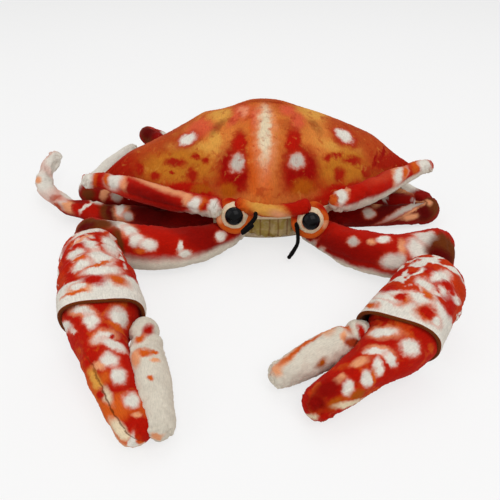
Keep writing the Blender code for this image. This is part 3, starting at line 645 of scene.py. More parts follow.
def plastic_eye(side):
    """Black domed eye on its shank: the CAD's sizes with a finely turned dome."""
    seat = 0.0095 - 0.00175
    t = np.linspace(np.pi / 2.0, 0.0, 24)
    dome = np.stack([0.0060 * np.cos(t), seat + 0.0037 * np.sin(t)], -1)
    rest = [
        (0.0060, seat - 0.0003), (0.0058, seat - 0.0006), (0.0013, seat - 0.0006), (0.0012, seat - 0.0008),
        (0.0012, seat - 0.0064), (0.0, seat - 0.0065),
    ]
    return turned_form(f"plastic_eye_{side}", side, np.vstack([dome, rest]), 64)


def face(rings=48, around=96):
    """Padded face below the bridge: a flattened ball with pleats that run down from the bridge."""
    centre = np.array(FACE_PLACE)
    t = np.linspace(0.0, np.pi, rings + 2)[1:-1][:, None]
    angle = (2.0 * np.pi * np.arange(around) / around)[None, :]
    x = 0.0210 * np.sin(t) * np.cos(angle)
    z = 0.0120 * np.sin(t) * np.sin(angle)
    y = -0.0060 * np.cos(t) * np.ones_like(angle)
    pleat = 0.0010 * np.sin(x * (1.0 - 18.0 * z) * 2.0 * np.pi / PLEAT) * np.sin(t) ** 2
    grid = centre + np.stack([x, y - pleat * (y < 0.0), z], -1)
    ends = centre + np.array([[0.0, -0.0060, 0.0], [0.0, 0.0060, 0.0]])
    return closed_grid("face_plush", grid, ends[0], ends[1], np.linspace(0.0, 0.03, rings))


def rim_points(side):
    """Route of the rim outside the carapace's front outline, from beside the eye past the corner."""
    first = math.acos((abs(EYE_PLACE[side][0]) + 0.0098) / REACH[side])
    share = np.arange(6) / 5.0
    turn = first * (1.0 - share)
    angle = -turn if side == "right" else turn - np.pi
    point, ahead = carapace_outline(side, angle), carapace_outline(side, angle + 0.01)
    step = ahead - point
    point = point + 0.00372 * unit(np.stack([step[:, 1], -step[:, 0]], -1))
    tip = {"left": 0.012, "right": 0.008}[side]
    point[-1] = carapace_outline(side, angle[-1:])[0] + (SIDES[side] * tip, -0.00372)
    height = SEAM + 0.002 + {"left": 0.0, "right": 0.006}[side] * share
    return turned_with_body(np.concatenate([point, height[:, None]], -1))


def carapace_outline(side, angle):
    """Front outline with one side's own reach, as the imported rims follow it."""
    depth = np.abs(np.sin(angle))
    return np.stack([REACH[side] * np.cos(angle), -SETBACK - (FRONT - SETBACK) * depth ** 3.0], -1)


def bridge_points():
    """Route of the sagging roll from over the left eyeball to over the right one."""
    left, right = np.array(EYE_PLACE["left"]), np.array(EYE_PLACE["right"])
    left, right = left + (0, 0, 0.0085), right + (0, 0, 0.0112)
    share = np.array([0.0, 0.25, 0.5, 0.75, 1.0])[:, None]
    bow = np.sin(share * np.pi)
    return left + share * (right - left) - bow * np.array([[0.0, 0.0015, 0.0040]])


def sleeve(side, key, stations=170, around=96):
    """Forearm sleeve: an outer skin to a free cuff edge, which turns in and runs back to a blind end.

    Each ring is an oval with its own half width across, above and below, squarer near the cuff.
    The cuff's edge reaches forward as HEM says, and the skin has folds across it as far as the
    plain band at the cuff. On the map the turned-in skin lies past the end by half a unit.
    """
    points = sleeve_points(side)
    line, distance = smooth_line(points)
    total = distance[-1]
    begin = SLEEVE_BEGIN[side]
    outer = np.linspace(0.0, 1.0, stations + 1)[1:]
    outer = begin + (total - begin) * (1.0 - (1.0 - outer) ** 1.15)
    lip = np.linspace(0.0, np.pi, 9)[1:-1]
    inner = np.linspace(0.0, 1.0, 30)[1:]
    s = np.concatenate([outer, total + CUFF_CLOTH * np.sin(lip), total - inner * CUFF_DEPTH])
    wall = np.concatenate([
        np.zeros(stations), CUFF_CLOTH * (1.0 - np.cos(lip)), np.full(len(inner), 2.0 * CUFF_CLOTH)])
    share = s / total
    across, above, below = (profile(SLEEVE_SHAPE[side][i], share)[:, None] for i in range(3))
    cap = np.sqrt(np.clip(1.0 - np.square(np.clip(1.0 - (s - begin) / 0.007, 0.0, 1.0)), 0.0, 1.0))
    blind = np.sqrt(np.clip(1.0 - np.square(((inner - 0.8) / 0.2).clip(0.0)), 0.0, 1.0))
    cap[-len(inner):] *= blind
    centre = read_at(s, distance, line)
    tangent, up, front = upright(unit(read_at(s, distance, np.gradient(line, distance, axis=0))), side)
    over = np.maximum(s - total, 0.0)[:, None] * tangent
    turn = np.arange(around) / around
    angle = 2.0 * np.pi * turn - np.pi
    S, A = s[:, None], angle[None, :]
    toward = np.cos(A)[..., None] * up[:, None] - np.sin(A)[..., None] * front[:, None]
    high = np.where(np.cos(A) > 0.0, above, below)
    power = 2.0 + 0.7 * eased(0.4 * total, 0.9 * total, S) * (np.cos(A) > 0.0)
    oval = (np.abs(np.cos(A) / high) ** power + np.abs(np.sin(A) / across) ** power) ** (-1.0 / power)
    wave = np.sin(S * 2.0 * np.pi / 0.0120 + 1.4 * np.sin(A + key) + 0.9 * np.sin(3.0 * A + key))
    wave2 = np.sin(S * 2.0 * np.pi / 0.0071 + 2.2 * np.sin(A * 2.0 + key) + key)
    depth = 0.00050 * (1.0 - eased(0.66 * total, 0.80 * total, S)) * eased(0.0, 0.15 * total, S)
    crease = -0.0011 * bell((S - 0.15 * total - 0.002 * np.sin(2.0 * A + key)) / 0.0014)
    R = oval * (1.0 + 0.03 * lumps(S, A, key)) + depth * (wave + 0.6 * wave2) + crease
    R = R + tuft(oval.shape, key, 0.00012) * (S < 0.97 * total)
    R = (R - wall[:, None]) * cap[:, None]
    flat, lean, bow, skew = HEM[side]
    hem = flat + lean * np.cos(A) + bow * np.square(np.cos(A)) - skew * np.sin(A)
    reach = eased(0.35 * total, total, S) * hem
    grid = centre[:, None] + over[:, None] + R[..., None] * toward + reach[..., None] * tangent[:, None]
    start, end = read_at(np.array([begin, total - CUFF_DEPTH]), distance, line)
    along = np.concatenate([s[:stations], total + np.linspace(0.05, 0.07, len(lip) + len(inner))])
    return closed_grid(f"sleeve_plush_{side}", grid, start, end, along)


# Colours, as they look in plain light, except the grey white, which holds painted shade
def tint(text):
    """Linear colour of a hexadecimal one."""
    parts = np.array([int(text[i:i + 2], 16) for i in (0, 2, 4)]) / 255.0
    linear = np.where(parts <= 0.04045, parts / 12.92, ((parts + 0.055) / 1.055) ** 2.4)
    return (*[float(v) for v in linear], 1.0)


# The grey white is the white of the print with painted shade, for white spots that lie in shade under the
# rims and in folds
WHITE, SHADED_WHITE, CREAM, BEIGE = tint("EAE4D8"), tint("C8BCB0"), tint("EAD6B4"), tint("CDB88E")
PINK, PEACH, SALMON = tint("F0946E"), tint("EEA274"), tint("DA5A38")
RED, DEEP_RED, DARK_RED = tint("B81404"), tint("8C0802"), tint("5C0402")
RUST = tint("A83C18")
ORANGE, TAWNY, OCHRE, AMBER = tint("D65C1A"), tint("B0520C"), tint("C47420"), tint("E2A048")
OLIVE, DARK_OLIVE = tint("A8924E"), tint("6E460C")
BROWN = tint("6A300E")
PALE, SUNNY = tint("E0D7C6"), tint("E0823A")
BLACK = (0.002, 0.002, 0.002, 1.0)
GARNET, BRICK, TERRA, TANGERINE = tint("9A0602"), tint("A81C06"), tint("B8481A"), tint("CC6222")
FLAME = tint("C4340E")


def feed(tree, made, values):
    """Give a node's inputs their values: another node's output is linked, the rest are set.

    An input goes by its name, or by its number after an i.
    """
    for key, value in values.items():
        place = made.inputs[int(key[1:]) if key[0] == "i" and key[1:].isdigit() else key]
        if isinstance(value, bpy.types.NodeSocket):
            tree.links.new(value, place)
        else:
            place.default_value = value


def node(tree, kind, settings=None, **values):
    """New node with its settings and the values of its inputs."""
    made = tree.nodes.new(f"ShaderNode{kind}")
    for key, value in (settings or {}).items():
        setattr(made, key, value)
    feed(tree, made, values)
    return made


def placed(tree, shared, **values):
    """A shared group put into a material with its own values."""
    return node(tree, "Group", {"node_tree": shared}, **values)


def maths(tree, operation, first, second):
    """Output of an operation on two numbers."""
    return node(tree, "Math", {"operation": operation}, i0=first, i1=second).outputs[0]


def vector_maths(tree, operation, first, second):
    """Output of an operation on two vectors."""
    return node(tree, "VectorMath", {"operation": operation}, i0=first, i1=second).outputs[0]


def ranged(tree, value, low, high, before, after, kind="LINEAR"):
    """A value between low and high carried over to between before and after."""
    return node(tree, "MapRange", {"interpolation_type": kind}, i0=value, i1=low, i2=high, i3=before,
                i4=after).outputs[0]


def fade(tree, value, middle, edge, before, after):
    """Smooth step from before to after, over an edge on both sides of the middle."""
    low, high = maths(tree, "SUBTRACT", middle, edge), maths(tree, "ADD", middle, edge)
    return ranged(tree, value, low, high, before, after, "SMOOTHSTEP")


def group(name, inputs, outputs):
    """New node group with the named sockets; returns it with its own inputs and outputs."""
    tree = bpy.data.node_groups.new(name, "ShaderNodeTree")
    for direction, sockets in (("INPUT", inputs), ("OUTPUT", outputs)):
        for label, kind in sockets.items():
            tree.interface.new_socket(label, in_out=direction, socket_type=f"NodeSocket{kind}")
    return tree, tree.nodes.new("NodeGroupInput").outputs, tree.nodes.new("NodeGroupOutput").inputs


def laid_over(tree, share, ins, outs):
    """A group's Colour over its Below by a share, sent out of the group."""
    mix = node(tree, "Mix", {"data_type": "RGBA"}, i0=share, i6=ins["Below"], i7=ins["Colour"])
    tree.links.new(mix.outputs[2], outs["Colour"])
    return tree


def warp_group():
    """Pattern place pushed about by noise, so that printed edges run like watercolour."""
    tree, ins, outs = group(
        "bleeding_edges", {"Pattern": "Vector", "Cloth": "Vector", "Amount": "Vector", "Scale": "Float"},
        {"Pattern": "Vector"})
    noise = node(tree, "TexNoise", Vector=ins["Cloth"], Scale=ins["Scale"], Detail=3.0, Roughness=0.6)
    centred = vector_maths(tree, "SUBTRACT", noise.outputs["Color"], (0.5, 0.5, 0.5))
    sized = vector_maths(tree, "MULTIPLY", centred, ins["Amount"])
    tree.links.new(vector_maths(tree, "ADD", ins["Pattern"], sized), outs["Pattern"])
    return tree


def field_group():
    """Soft oval field of colour: full inside the oval, gone past its edge."""
    tree, ins, outs = group(
        "printed_field",
        {"Below": "Color", "Colour": "Color", "Pattern": "Vector", "Centre": "Vector", "Reach": "Vector",
         "Turn": "Float", "Edge": "Float", "Strength": "Float"},
        {"Colour": "Color"})
    offset = vector_maths(tree, "SUBTRACT", ins["Pattern"], ins["Centre"])
    spun = node(tree, "VectorRotate", {"rotation_type": "Z_AXIS"}, Vector=offset, Angle=ins["Turn"])
    scaled = vector_maths(tree, "DIVIDE", spun.outputs[0], ins["Reach"])
    far = node(tree, "VectorMath", {"operation": "LENGTH"}, i0=scaled).outputs["Value"]
    return laid_over(tree, fade(tree, far, 1.0, ins["Edge"], ins["Strength"], 0.0), ins, outs)


def mottle_group():
    """Blotches of a second colour where noise passes a threshold."""
    tree, ins, outs = group(
        "mottling",
        {"Below": "Color", "Colour": "Color", "Cloth": "Vector", "Scale": "Float", "Threshold": "Float",
         "Edge": "Float", "Strength": "Float"},
        {"Colour": "Color"})
    noise = node(tree, "TexNoise", Vector=ins["Cloth"], Scale=ins["Scale"], Detail=2.5, Roughness=0.55,
                 Distortion=0.6)
    share = fade(tree, noise.outputs[0], ins["Threshold"], ins["Edge"], 0.0, ins["Strength"])
    return laid_over(tree, share, ins, outs)


def pile_group():
    """Short pile: fine fibres that lie one way, in combed ribs, with painted shade between the fibres and
    painted light on their tips.
    """
    tree, ins, outs = group(
        "short_pile", {"Colour": "Color", "Cloth": "Vector", "Combed": "Vector", "Ribs": "Vector"},
        {"Colour": "Color", "Normal": "Vector"})
    combed = vector_maths(tree, "MULTIPLY", ins["Combed"], ins["Ribs"])
    fibre = node(tree, "TexNoise", Vector=combed, Scale=1.0, Detail=2.0, Roughness=0.6).outputs[0]
    tufts = node(tree, "TexNoise", Vector=ins["Cloth"], Scale=900.0, Detail=2.0).outputs[0]
    patches = node(tree, "TexNoise", Vector=ins["Cloth"], Scale=120.0, Detail=2.0).outputs[0]
    height = node(tree, "Mix", {"data_type": "FLOAT"}, i0=0.30, i2=fibre, i3=tufts).outputs[0]
    # Colour darkened in the low places of the pile's height and lightened on its high ones: painted shade
    # between the fibres and painted light on their tips
    shade = maths(tree, "MULTIPLY", ranged(tree, height, 0.3, 0.7, 0.80, 1.10),
                  ranged(tree, patches, 0.3, 0.7, 0.94, 1.04))
    toned = node(tree, "VectorMath", {"operation": "SCALE"}, i0=ins["Colour"], Scale=shade)
    bump = node(tree, "Bump", Strength=0.55, Distance=PILE_RELIEF, Height=height)
    tree.links.new(toned.outputs[0], outs["Colour"])
    tree.links.new(bump.outputs[0], outs["Normal"])
    return tree


PILE_RELIEF = 0.0006
WARP, FIELD, MOTTLE, PILE = warp_group(), field_group(), mottle_group(), pile_group()


def haloed(prints):
    """The prints with a warm rim under each pale field, as the dye runs into the pale pile."""
    for item in prints:
        if item[0] in (WHITE, SHADED_WHITE) and item[4] < 5.0:
            colour, across, along, wide, deep, turn, edge = item[:7]
            yield (SALMON, across, along, wide * 1.22, deep * 1.22, turn, 0.45, 0.75)
            yield (colour, across, along, wide, deep, turn, max(edge, 0.42), *item[7:])
        elif item[0] != "mottle" and item[4] < 5.0:
            yield (*item[:6], item[6] + 0.15, *item[7:])
        else:
            yield item


def new_material(name):
    """New material with its node tree and its shader."""
    material = bpy.data.materials.new(name)
    material.use_nodes = True
    return material, material.node_tree, material.node_tree.nodes["Principled BSDF"]


def plush(
    name, ground, prints=(), on_map=True, bleed=(0.060, 0.050), scale=190.0, ribs=(38.0, 150.0, 1.0),
    sheen=0.05,
):
    """Printed plush: the ground colour, then each print in turn, then the pile.

    A print is an oval (colour, u, v, reach along, reach across, turn, edge, strength) on the
    piece's map, or in metres where it isn't on the map, or else blotches ("mottle", colour,
    scale, threshold, edge, strength) all over.
    """
    material, tree, shader = new_material(name)
    place = tree.nodes.new("ShaderNodeTexCoord").outputs
    cloth = place["Object"]
    pattern = placed(tree, WARP, Pattern=place["UV"] if on_map else cloth, Cloth=cloth, Amount=(*bleed, 0.0),
                     Scale=scale).outputs["Pattern"]
    below = ground
    for first, *rest in haloed(prints):
        if first == "mottle":
            colour, size, threshold, edge, strength = rest
            made = placed(tree, MOTTLE, Below=below, Colour=colour, Cloth=cloth, Scale=size,
                          Threshold=threshold, Edge=edge, Strength=strength)
        else:
            across, along, wide, deep, turn, edge, *strength = rest
            made = placed(tree, FIELD, Below=below, Colour=first, Pattern=pattern, Edge=edge,
                          Centre=(across, along, 0.0), Reach=(wide, deep, 1e6), Turn=math.radians(turn),
                          Strength=strength[0] if strength else 1.0)
        below = made.outputs["Colour"]
    pile = placed(tree, PILE, Colour=below, Cloth=cloth, Combed=place["UV"], Ribs=ribs)
    feed(tree, shader, {
        "Base Color": pile.outputs["Colour"], "Normal": pile.outputs["Normal"], "Roughness": 0.88,
        "Specular IOR Level": 0.06, "Sheen Weight": sheen, "Sheen Roughness": 0.5,
        "Sheen Tint": (1.0, 0.62, 0.48, 1.0),
    })
    return material


def dress(piece, material, slot, *nodes, fill=None):
    """Give a piece its material, let it ride and stand for its CAD nodes; the slot is not used."""
    piece.data.materials.clear()
    piece.data.materials.append(material)
    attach(piece, "root")
    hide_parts(*nodes)
    return piece


# Fields of colour as they are seen in the picture, listed in its pixels: colour, across,
# down, half width, half height, turn in degrees, softness of the edge, and the strength if below 1
SEEN = {
    "carapace_plush": [
        (SUNNY, 264, 148, 20, 52, 0, 0.5, 0.75), (SUNNY, 222, 142, 13, 27, -30, 0.5, 0.75),
        (SUNNY, 320, 142, 13, 28, 30, 0.5, 0.75), (SUNNY, 240, 196, 20, 6, -10, 0.5, 0.6),
        (SUNNY, 300, 196, 20, 6, 10, 0.5, 0.6), (BRICK, 122, 160, 26, 16, 35, 0.25),
        (TERRA, 150, 143, 22, 9, 25, 0.4), (SALMON, 200, 128, 16, 9, 25, 0.4),
        (AMBER, 221, 114, 12, 6, 15, 0.4), (AMBER, 197, 147, 24, 6, -8, 0.5),
        (AMBER, 215, 140, 7, 9, 0, 0.4), (OCHRE, 178, 166, 37, 17, 5, 0.3),
        (BROWN, 218, 127, 11, 3.5, 48, 0.5, 0.45), (RED, 188, 193, 31, 10, -12, 0.3),
        (TAWNY, 202, 188, 10, 4, 0, 0.4), (BRICK, 175, 162, 10, 4, 0, 0.35),
        (BRICK, 196, 157, 5, 3, 0, 0.4), (BRICK, 206, 160, 4, 4, 0, 0.4), (BRICK, 192, 175, 6, 8, 0, 0.35),
        (BRICK, 155, 176, 6, 5, 20, 0.35), (BRICK, 140, 168, 5, 7, 30, 0.4),
        (BRICK, 172, 172, 2, 2, 0, 0.4), (BRICK, 188, 140, 13, 8, 22, 0.3),
        (WHITE, 188, 139, 9, 4.8, 22, 0.25), (GARNET, 236, 168, 19, 24, 0, 0.25),
        (BRICK, 240, 146, 8, 16, -4, 0.25), (RED, 239, 143, 6, 8, 0, 0.5), (TAWNY, 228, 190, 8, 7, 0, 0.4),
        (SHADED_WHITE, 237.5, 163, 8.5, 6.5, 70, 0.2), (SALMON, 241, 110, 9, 7, 10, 0.5),
        (PINK, 243, 111, 5, 4.5, 0, 0.4), (SALMON, 235, 118, 9, 3, 50, 0.6),
        (ORANGE, 256, 145, 8, 44, 0, 0.35), (SALMON, 256, 116, 6, 10, 0, 0.6),
        (ORANGE, 266, 165, 6, 30, 0, 0.5), (PEACH, 265, 134, 10, 33, 0, 0.5, 0.7),
        (CREAM, 265, 130, 5.5, 26, 0, 0.4), (GARNET, 260, 101, 27, 2.5, 3, 0.5, 0.5),
        (AMBER, 312, 112, 14, 5, -18, 0.4), (SALMON, 288, 110, 8, 5, -10, 0.4),
        (SALMON, 298, 121, 6, 9, 0, 0.5), (BROWN, 315, 126, 10, 3.5, -48, 0.5, 0.45),
        (AMBER, 345, 149, 24, 6, -15, 0.5), (TERRA, 345, 130, 20, 13, -35, 0.3),
        (BRICK, 345, 138, 14, 9, -33, 0.3), (WHITE, 344, 135.5, 9, 5, -33, 0.25),
        (OCHRE, 347, 166, 30, 16, 5, 0.3), (BRICK, 327, 157, 5, 3.5, 0, 0.4),
        (BRICK, 337, 156, 5, 3, 0, 0.4), (BRICK, 353, 161, 10, 4.5, -5, 0.35),
        (BRICK, 340, 175, 6, 8, 0, 0.35), (BRICK, 366, 172, 5, 6, 0, 0.35),
        (GARNET, 300, 170, 19, 24, 0, 0.25), (BRICK, 294, 144, 8, 17, 4, 0.25),
        (RED, 294, 142, 6, 9, 0, 0.5), (TAWNY, 303, 188, 12, 8, 10, 0.4), (SHADED_WHITE, 297, 161, 7.5, 7, 0, 0.2),
        (RED, 343, 192, 28, 8, 14, 0.3), (TERRA, 377, 152, 15, 22, 15, 0.35),
        (BRICK, 387, 162, 14, 8, 10, 0.3), (GARNET, 383, 152, 8, 1.6, 70, 0.5),
        (GARNET, 375, 160, 9, 1.6, 75, 0.5), (BRICK, 402, 160, 14, 10, -10, 0.3),
    ],
    "rim_plush_left": [
        (DEEP_RED, 150, 196, 36, 6, -20, 0.5), (PEACH, 160, 186.5, 30, 2.4, -19, 0.5),
        (PEACH, 187, 200, 4.5, 7, 0, 0.4), (WHITE, 195, 206, 6, 9, 0, 0.3),
        (ORANGE, 204, 207, 5.5, 9, 0, 0.3), (RED, 205, 208, 3, 6, 0, 0.5), (WHITE, 214, 208, 6, 9, 0, 0.25),
        (PEACH, 122, 180, 5, 9, 0, 0.4), (WHITE, 112, 180, 9, 10, 0, 0.3), (ORANGE, 106, 179, 3, 9, 0, 0.5),
        (RED, 99, 179, 5, 10, 0, 0.3), (ORANGE, 93, 181, 4, 8, 0, 0.5), (WHITE, 86, 182, 6, 11, 0, 0.3),
    ],
    "rim_plush_right": [
        (SALMON, 386, 175, 18, 4, 22, 0.5, 0.4), (PEACH, 345, 192, 4, 9, 0, 0.4),
        (PEACH, 335, 190, 14, 3, 20, 0.5), (WHITE, 341, 196, 6, 9, 0, 0.3),
        (ORANGE, 330, 200, 6.5, 9, 0, 0.3), (WHITE, 319, 204, 7, 8, 0, 0.3),
        (PEACH, 396, 173, 4, 10, 0, 0.4), (WHITE, 401, 174, 6, 9, -30, 0.3),
        (ORANGE, 405, 172, 3, 8, 0, 0.5), (ORANGE, 416, 166, 4.5, 8, 0, 0.5),
        (WHITE, 425, 166, 6, 9, 0, 0.3),
    ],
    "bridge_plush": [
        (ORANGE, 247, 205, 8, 12, 0, 0.4), (AMBER, 266, 208, 21, 8, -20, 0.3),
        (PEACH, 280, 216, 10, 4, -12, 0.5), (RED, 304, 210, 12, 10, 20, 0.4),
    ],
    "orbit_plush_left": [
        (RED, 236, 199, 14, 3.5, 0, 0.4), (PEACH, 220, 217, 4, 5, 0, 0.5), (RED, 218, 208, 2.5, 6, 0, 0.5),
    ],
    "orbit_plush_right": [
        (RED, 297, 213, 6, 8, 0, 0.4), (PEACH, 325, 224, 4, 4, 0, 0.5), (RED, 322, 207, 7, 3, -30, 0.5),
    ],
    "arm_plush_left": [
        # The wide dark red field toward the body is print darkened by painted shade where the arm runs in
        # under the body
        (DEEP_RED, 205, 237, 30, 13, -20, 0.5), (PEACH, 121, 225, 15, 7, -22, 0.4),
        (WHITE, 119, 223.5, 13, 4.5, -22, 0.3), (WHITE, 131, 231, 8, 5, -35, 0.3),
        (WHITE, 137, 240, 8, 6, 0, 0.25), (WHITE, 149, 245, 8, 6, -10, 0.25),
        (ORANGE, 140, 251, 6, 2.5, 0, 0.5), (WHITE, 180, 247, 3, 6, 0, 0.3),
        (WHITE, 185, 254, 6, 4, 0, 0.3), (WHITE, 221, 236, 5, 5, 0, 0.3),
        (DEEP_RED, 112, 240, 8, 14, 0, 0.4), (BROWN, 94, 224, 22, 7, 5, 0.3),
        (DARK_RED, 86, 227, 9, 4, 25, 0.5), (BROWN, 119, 242, 4.5, 14, 12, 0.35),
        (PEACH, 128, 221, 8, 3, -20, 0.5),
    ],
    "arm_plush_right": [
        # The wide dark red field toward the body is print darkened by painted shade where the arm runs in
        # under the body
        (DEEP_RED, 335, 248, 40, 14, -15, 0.5), (SHADED_WHITE, 353, 241, 5.5, 4.5, 0, 0.2),
        (SHADED_WHITE, 311, 245, 4, 3, 0, 0.3), (SHADED_WHITE, 320, 251, 3.5, 3, 0, 0.3), (PEACH, 372, 242, 5, 3, 0, 0.5),
        (WHITE, 384, 239, 7, 3.5, 0, 0.3), (PEACH, 402, 248, 4, 9, 0, 0.4),
        (WHITE, 394, 262, 12, 7.5, 10, 0.25), (WHITE, 418, 246, 11, 12, 20, 0.25),
        (WHITE, 428, 238, 14, 6, -20, 0.3), (BROWN, 445, 250, 19, 15, -35, 0.25),
        (DARK_RED, 440, 256, 13, 8, -30, 0.4), (RED, 434, 262, 12, 3.5, -15, 0.4),
    ],
    "sleeve_plush_left": [
        (WHITE, 90, 231, 20, 1.6, 12, 0.4), (PEACH, 84, 238, 13, 1.4, 22, 0.4),
        (RED, 98, 239, 5, 8, 0, 0.4), (WHITE, 89, 244, 9, 5, -22, 0.25),
        (WHITE, 111, 244, 9.5, 5, -52, 0.25), (RED, 79, 248, 8, 6, 0, 0.4), (RED, 66, 259, 5, 14, 0, 0.4),
        (ORANGE, 84, 258, 10, 3.5, 10, 0.5), (WHITE, 76, 253, 9, 3, 28, 0.3),
        (WHITE, 101, 257, 13, 6.5, -18, 0.25), (WHITE, 82, 266, 10, 4, 25, 0.3),
        (WHITE, 101, 271, 18, 5.5, 5, 0.3), (ORANGE, 98, 265, 14, 1.3, 18, 0.4),
        (RED, 70, 277, 5, 5, 0, 0.3), (RED, 93, 280, 13, 5, 5, 0.35), (ORANGE, 118, 280, 12, 5, -20, 0.5),
        (PEACH, 80, 288, 12, 5, 10, 0.35), (WHITE, 78, 286, 8, 3, 10, 0.4),
        (ORANGE, 75, 293, 14, 1.8, 14, 0.4),
    ],
    "sleeve_plush_right": [
        (RED, 431, 272, 6, 7, 0, 0.4), (WHITE, 441, 277, 10, 6, -12, 0.25),
        (RED, 445, 286, 11, 4.5, -10, 0.35), (WHITE, 445, 294, 10, 2.5, -60, 0.4),
        (WHITE, 424, 284, 10, 5, -30, 0.3), (ORANGE, 428, 295, 9, 3, -40, 0.5),
        (WHITE, 419, 299, 13, 5.5, -28, 0.3), (ORANGE, 402, 299, 9, 6, -15, 0.5),
        (RED, 401, 297, 5, 4.5, 0, 0.3), (ORANGE, 426, 313, 12, 8, -25, 0.4),
        (RED, 427, 312, 9, 6, -20, 0.3), (WHITE, 437, 322, 6, 4, -60, 0.4), (RED, 450, 306, 5, 13, 15, 0.4),
        (RED, 388, 289, 9, 2.5, 20, 0.5), (WHITE, 385, 297, 13, 3, -12, 0.4),
        (ORANGE, 370, 305, 8, 3, 0, 0.5),
    ],
    "hand_plush_left": [
        (PEACH, 84, 312, 15, 6, -15, 0.4), (WHITE, 84, 311, 12, 4, -15, 0.4),
        (WHITE, 91, 320, 8, 6.5, -20, 0.25), (WHITE, 119, 318, 11, 7.5, -45, 0.25),
        (ORANGE, 117, 328, 13, 2, -40, 0.5), (PEACH, 105, 337, 14, 7.5, 12, 0.3),
        (WHITE, 103, 338, 11, 6, 10, 0.4), (RED, 112, 337, 2.5, 2, 0, 0.4),
        (WHITE, 114, 345, 14, 4.5, -22, 0.25), (WHITE, 109, 360, 9, 7.5, 0, 0.25),
        (PEACH, 98, 366, 6, 4, 0, 0.4), (WHITE, 119, 376, 8, 7.5, -50, 0.25),
        (ORANGE, 104, 378, 6, 7, 0, 0.5), (ORANGE, 120, 408, 12, 9, -20, 0.5),
        (WHITE, 131, 400, 8, 7.5, -20, 0.25), (PEACH, 138, 416, 4.5, 3.5, 0, 0.4),
        (RED, 146, 434, 10, 13, 20, 0.3), (AMBER, 96, 380, 5, 12, 25, 0.4),
        (CREAM, 107, 396, 4, 9, 25, 0.5), (RED, 100, 394, 4, 6, 0, 0.4), (ORANGE, 112, 412, 8, 9, 30, 0.5),
        (CREAM, 120, 430, 14, 6, -50, 0.3), (WHITE, 133, 443, 9, 5, -35, 0.4),
        (WHITE, 73, 331, 3.2, 2.5, -20, 0.3), (WHITE, 64, 327, 6, 5, -45, 0.4),
    ],
    "hand_plush_right": [
        (PEACH, 384, 332, 16, 6, 0, 0.4), (WHITE, 383, 332, 13, 4, 0, 0.4),
        (WHITE, 410, 347, 10, 7.5, -15, 0.25), (PEACH, 380, 351, 14, 5, -10, 0.4),
        (WHITE, 377, 352, 12, 3.2, -5, 0.3), (WHITE, 391, 360, 8, 4, -52, 0.3),
        (WHITE, 378, 367, 5, 8.5, 0, 0.25), (WHITE, 367, 378, 6.5, 8.5, 0, 0.25),
        (ORANGE, 374, 377, 2.5, 9, 0, 0.5), (PEACH, 360, 362, 9, 3.5, 20, 0.4),
        (RED, 353, 374, 7, 8, 0, 0.3), (PEACH, 340, 378, 7, 3.5, 35, 0.4), (WHITE, 348, 388, 5, 8, 0, 0.25),
        (DEEP_RED, 328, 389, 15, 9, 25, 0.35), (TAWNY, 336, 403, 10, 5, 35, 0.5),
        (TAWNY, 358, 396, 8, 4, 30, 0.5), (DEEP_RED, 316, 403, 10, 9, 0, 0.4),
        (CREAM, 350, 404, 14, 2.5, 15, 0.4), (CREAM, 312, 417, 9, 2.5, -15, 0.4),
    ],
    "finger_plush_left": [
        (RED, 148, 331, 6, 5, 20, 0.35), (ORANGE, 140, 338, 6, 3, 30, 0.5),
        (ORANGE, 144, 352, 9, 4.5, 0, 0.4), (PEACH, 135, 359, 4.5, 8, 0, 0.4),
        (PEACH, 155, 360, 5, 2.5, 0, 0.4), (ORANGE, 154, 352, 4, 2, -20, 0.4),
        (ORANGE, 150.5, 378, 3.5, 3.5, 0, 0.4), (PEACH, 157, 436, 6, 4, 0, 0.5),
    ],
    "finger_plush_right": [
        (RED, 362, 333, 4, 11, 10, 0.35), (PEACH, 288, 358, 16, 3.5, 42, 0.5),
        (ORANGE, 303, 346, 36, 2, 37, 0.5), (PEACH, 325, 330, 9, 4, 15, 0.4),
        (ORANGE, 343, 326, 9, 1.8, -28, 0.4), (PEACH, 343, 337, 4, 6, 0, 0.4),
        (RUST, 353, 343, 7, 5, -25, 0.4), (TAWNY, 322, 363, 7, 4, 40, 0.5), (PEACH, 276, 371, 5, 6, 0, 0.5),
    ],
    "leg_plush_left_1": [
        # The wide dark red field over the leg's inner part is print darkened by painted shade under the rim
        (DARK_RED, 150, 214, 24, 12, 0, 0.3), (BROWN, 107, 210, 8, 11, 0, 0.3),
        (DARK_RED, 110, 211, 4, 9, 0, 0.5), (PEACH, 121, 210, 8, 11, 0, 0.35),
        (WHITE, 120, 208, 5, 7, 0, 0.4), (SHADED_WHITE, 128, 217, 5, 4.5, 0, 0.3), (RED, 90, 211, 9, 9, 0, 0.3),
        (WHITE, 87, 206, 11, 1.4, 32, 0.4), (WHITE, 97, 201, 6, 2.5, 0, 0.4),
        (WHITE, 62, 203, 5, 5, 0, 0.3), (PEACH, 68, 206, 6, 6, 0, 0.4), (RED, 76, 209, 4, 6, 0, 0.4),
        (WHITE, 50, 190, 13, 12, -40, 0.25), (WHITE, 66, 194, 10, 4, -30, 0.35),
        (RUST, 54, 198, 6, 3, 30, 0.5), (RUST, 57, 206, 5, 2, -40, 0.5), (RUST, 67, 192, 3.5, 1.5, 0, 0.5),
        (WHITE, 47, 175, 14, 20, -20, 0.2), (WHITE, 57, 162, 12, 14, 0, 0.2),
        (PEACH, 38, 180, 3, 4, 0, 0.5),
    ],
    "leg_plush_left_2": [
        (BROWN, 88, 194, 6, 6, 0, 0.4), (PEACH, 105, 193, 4, 7, -30, 0.4), (SHADED_WHITE, 117, 196, 5, 5, 0, 0.3),
    ],
    "leg_plush_left_4": [
        (BROWN, 147, 131, 17, 12, 0, 0.2), (RUST, 146, 127, 7, 4, 0, 0.5),
        (DARK_RED, 148, 132, 8, 6, 0, 0.4), (RED, 155, 127, 6, 3, -30, 0.4),
    ],
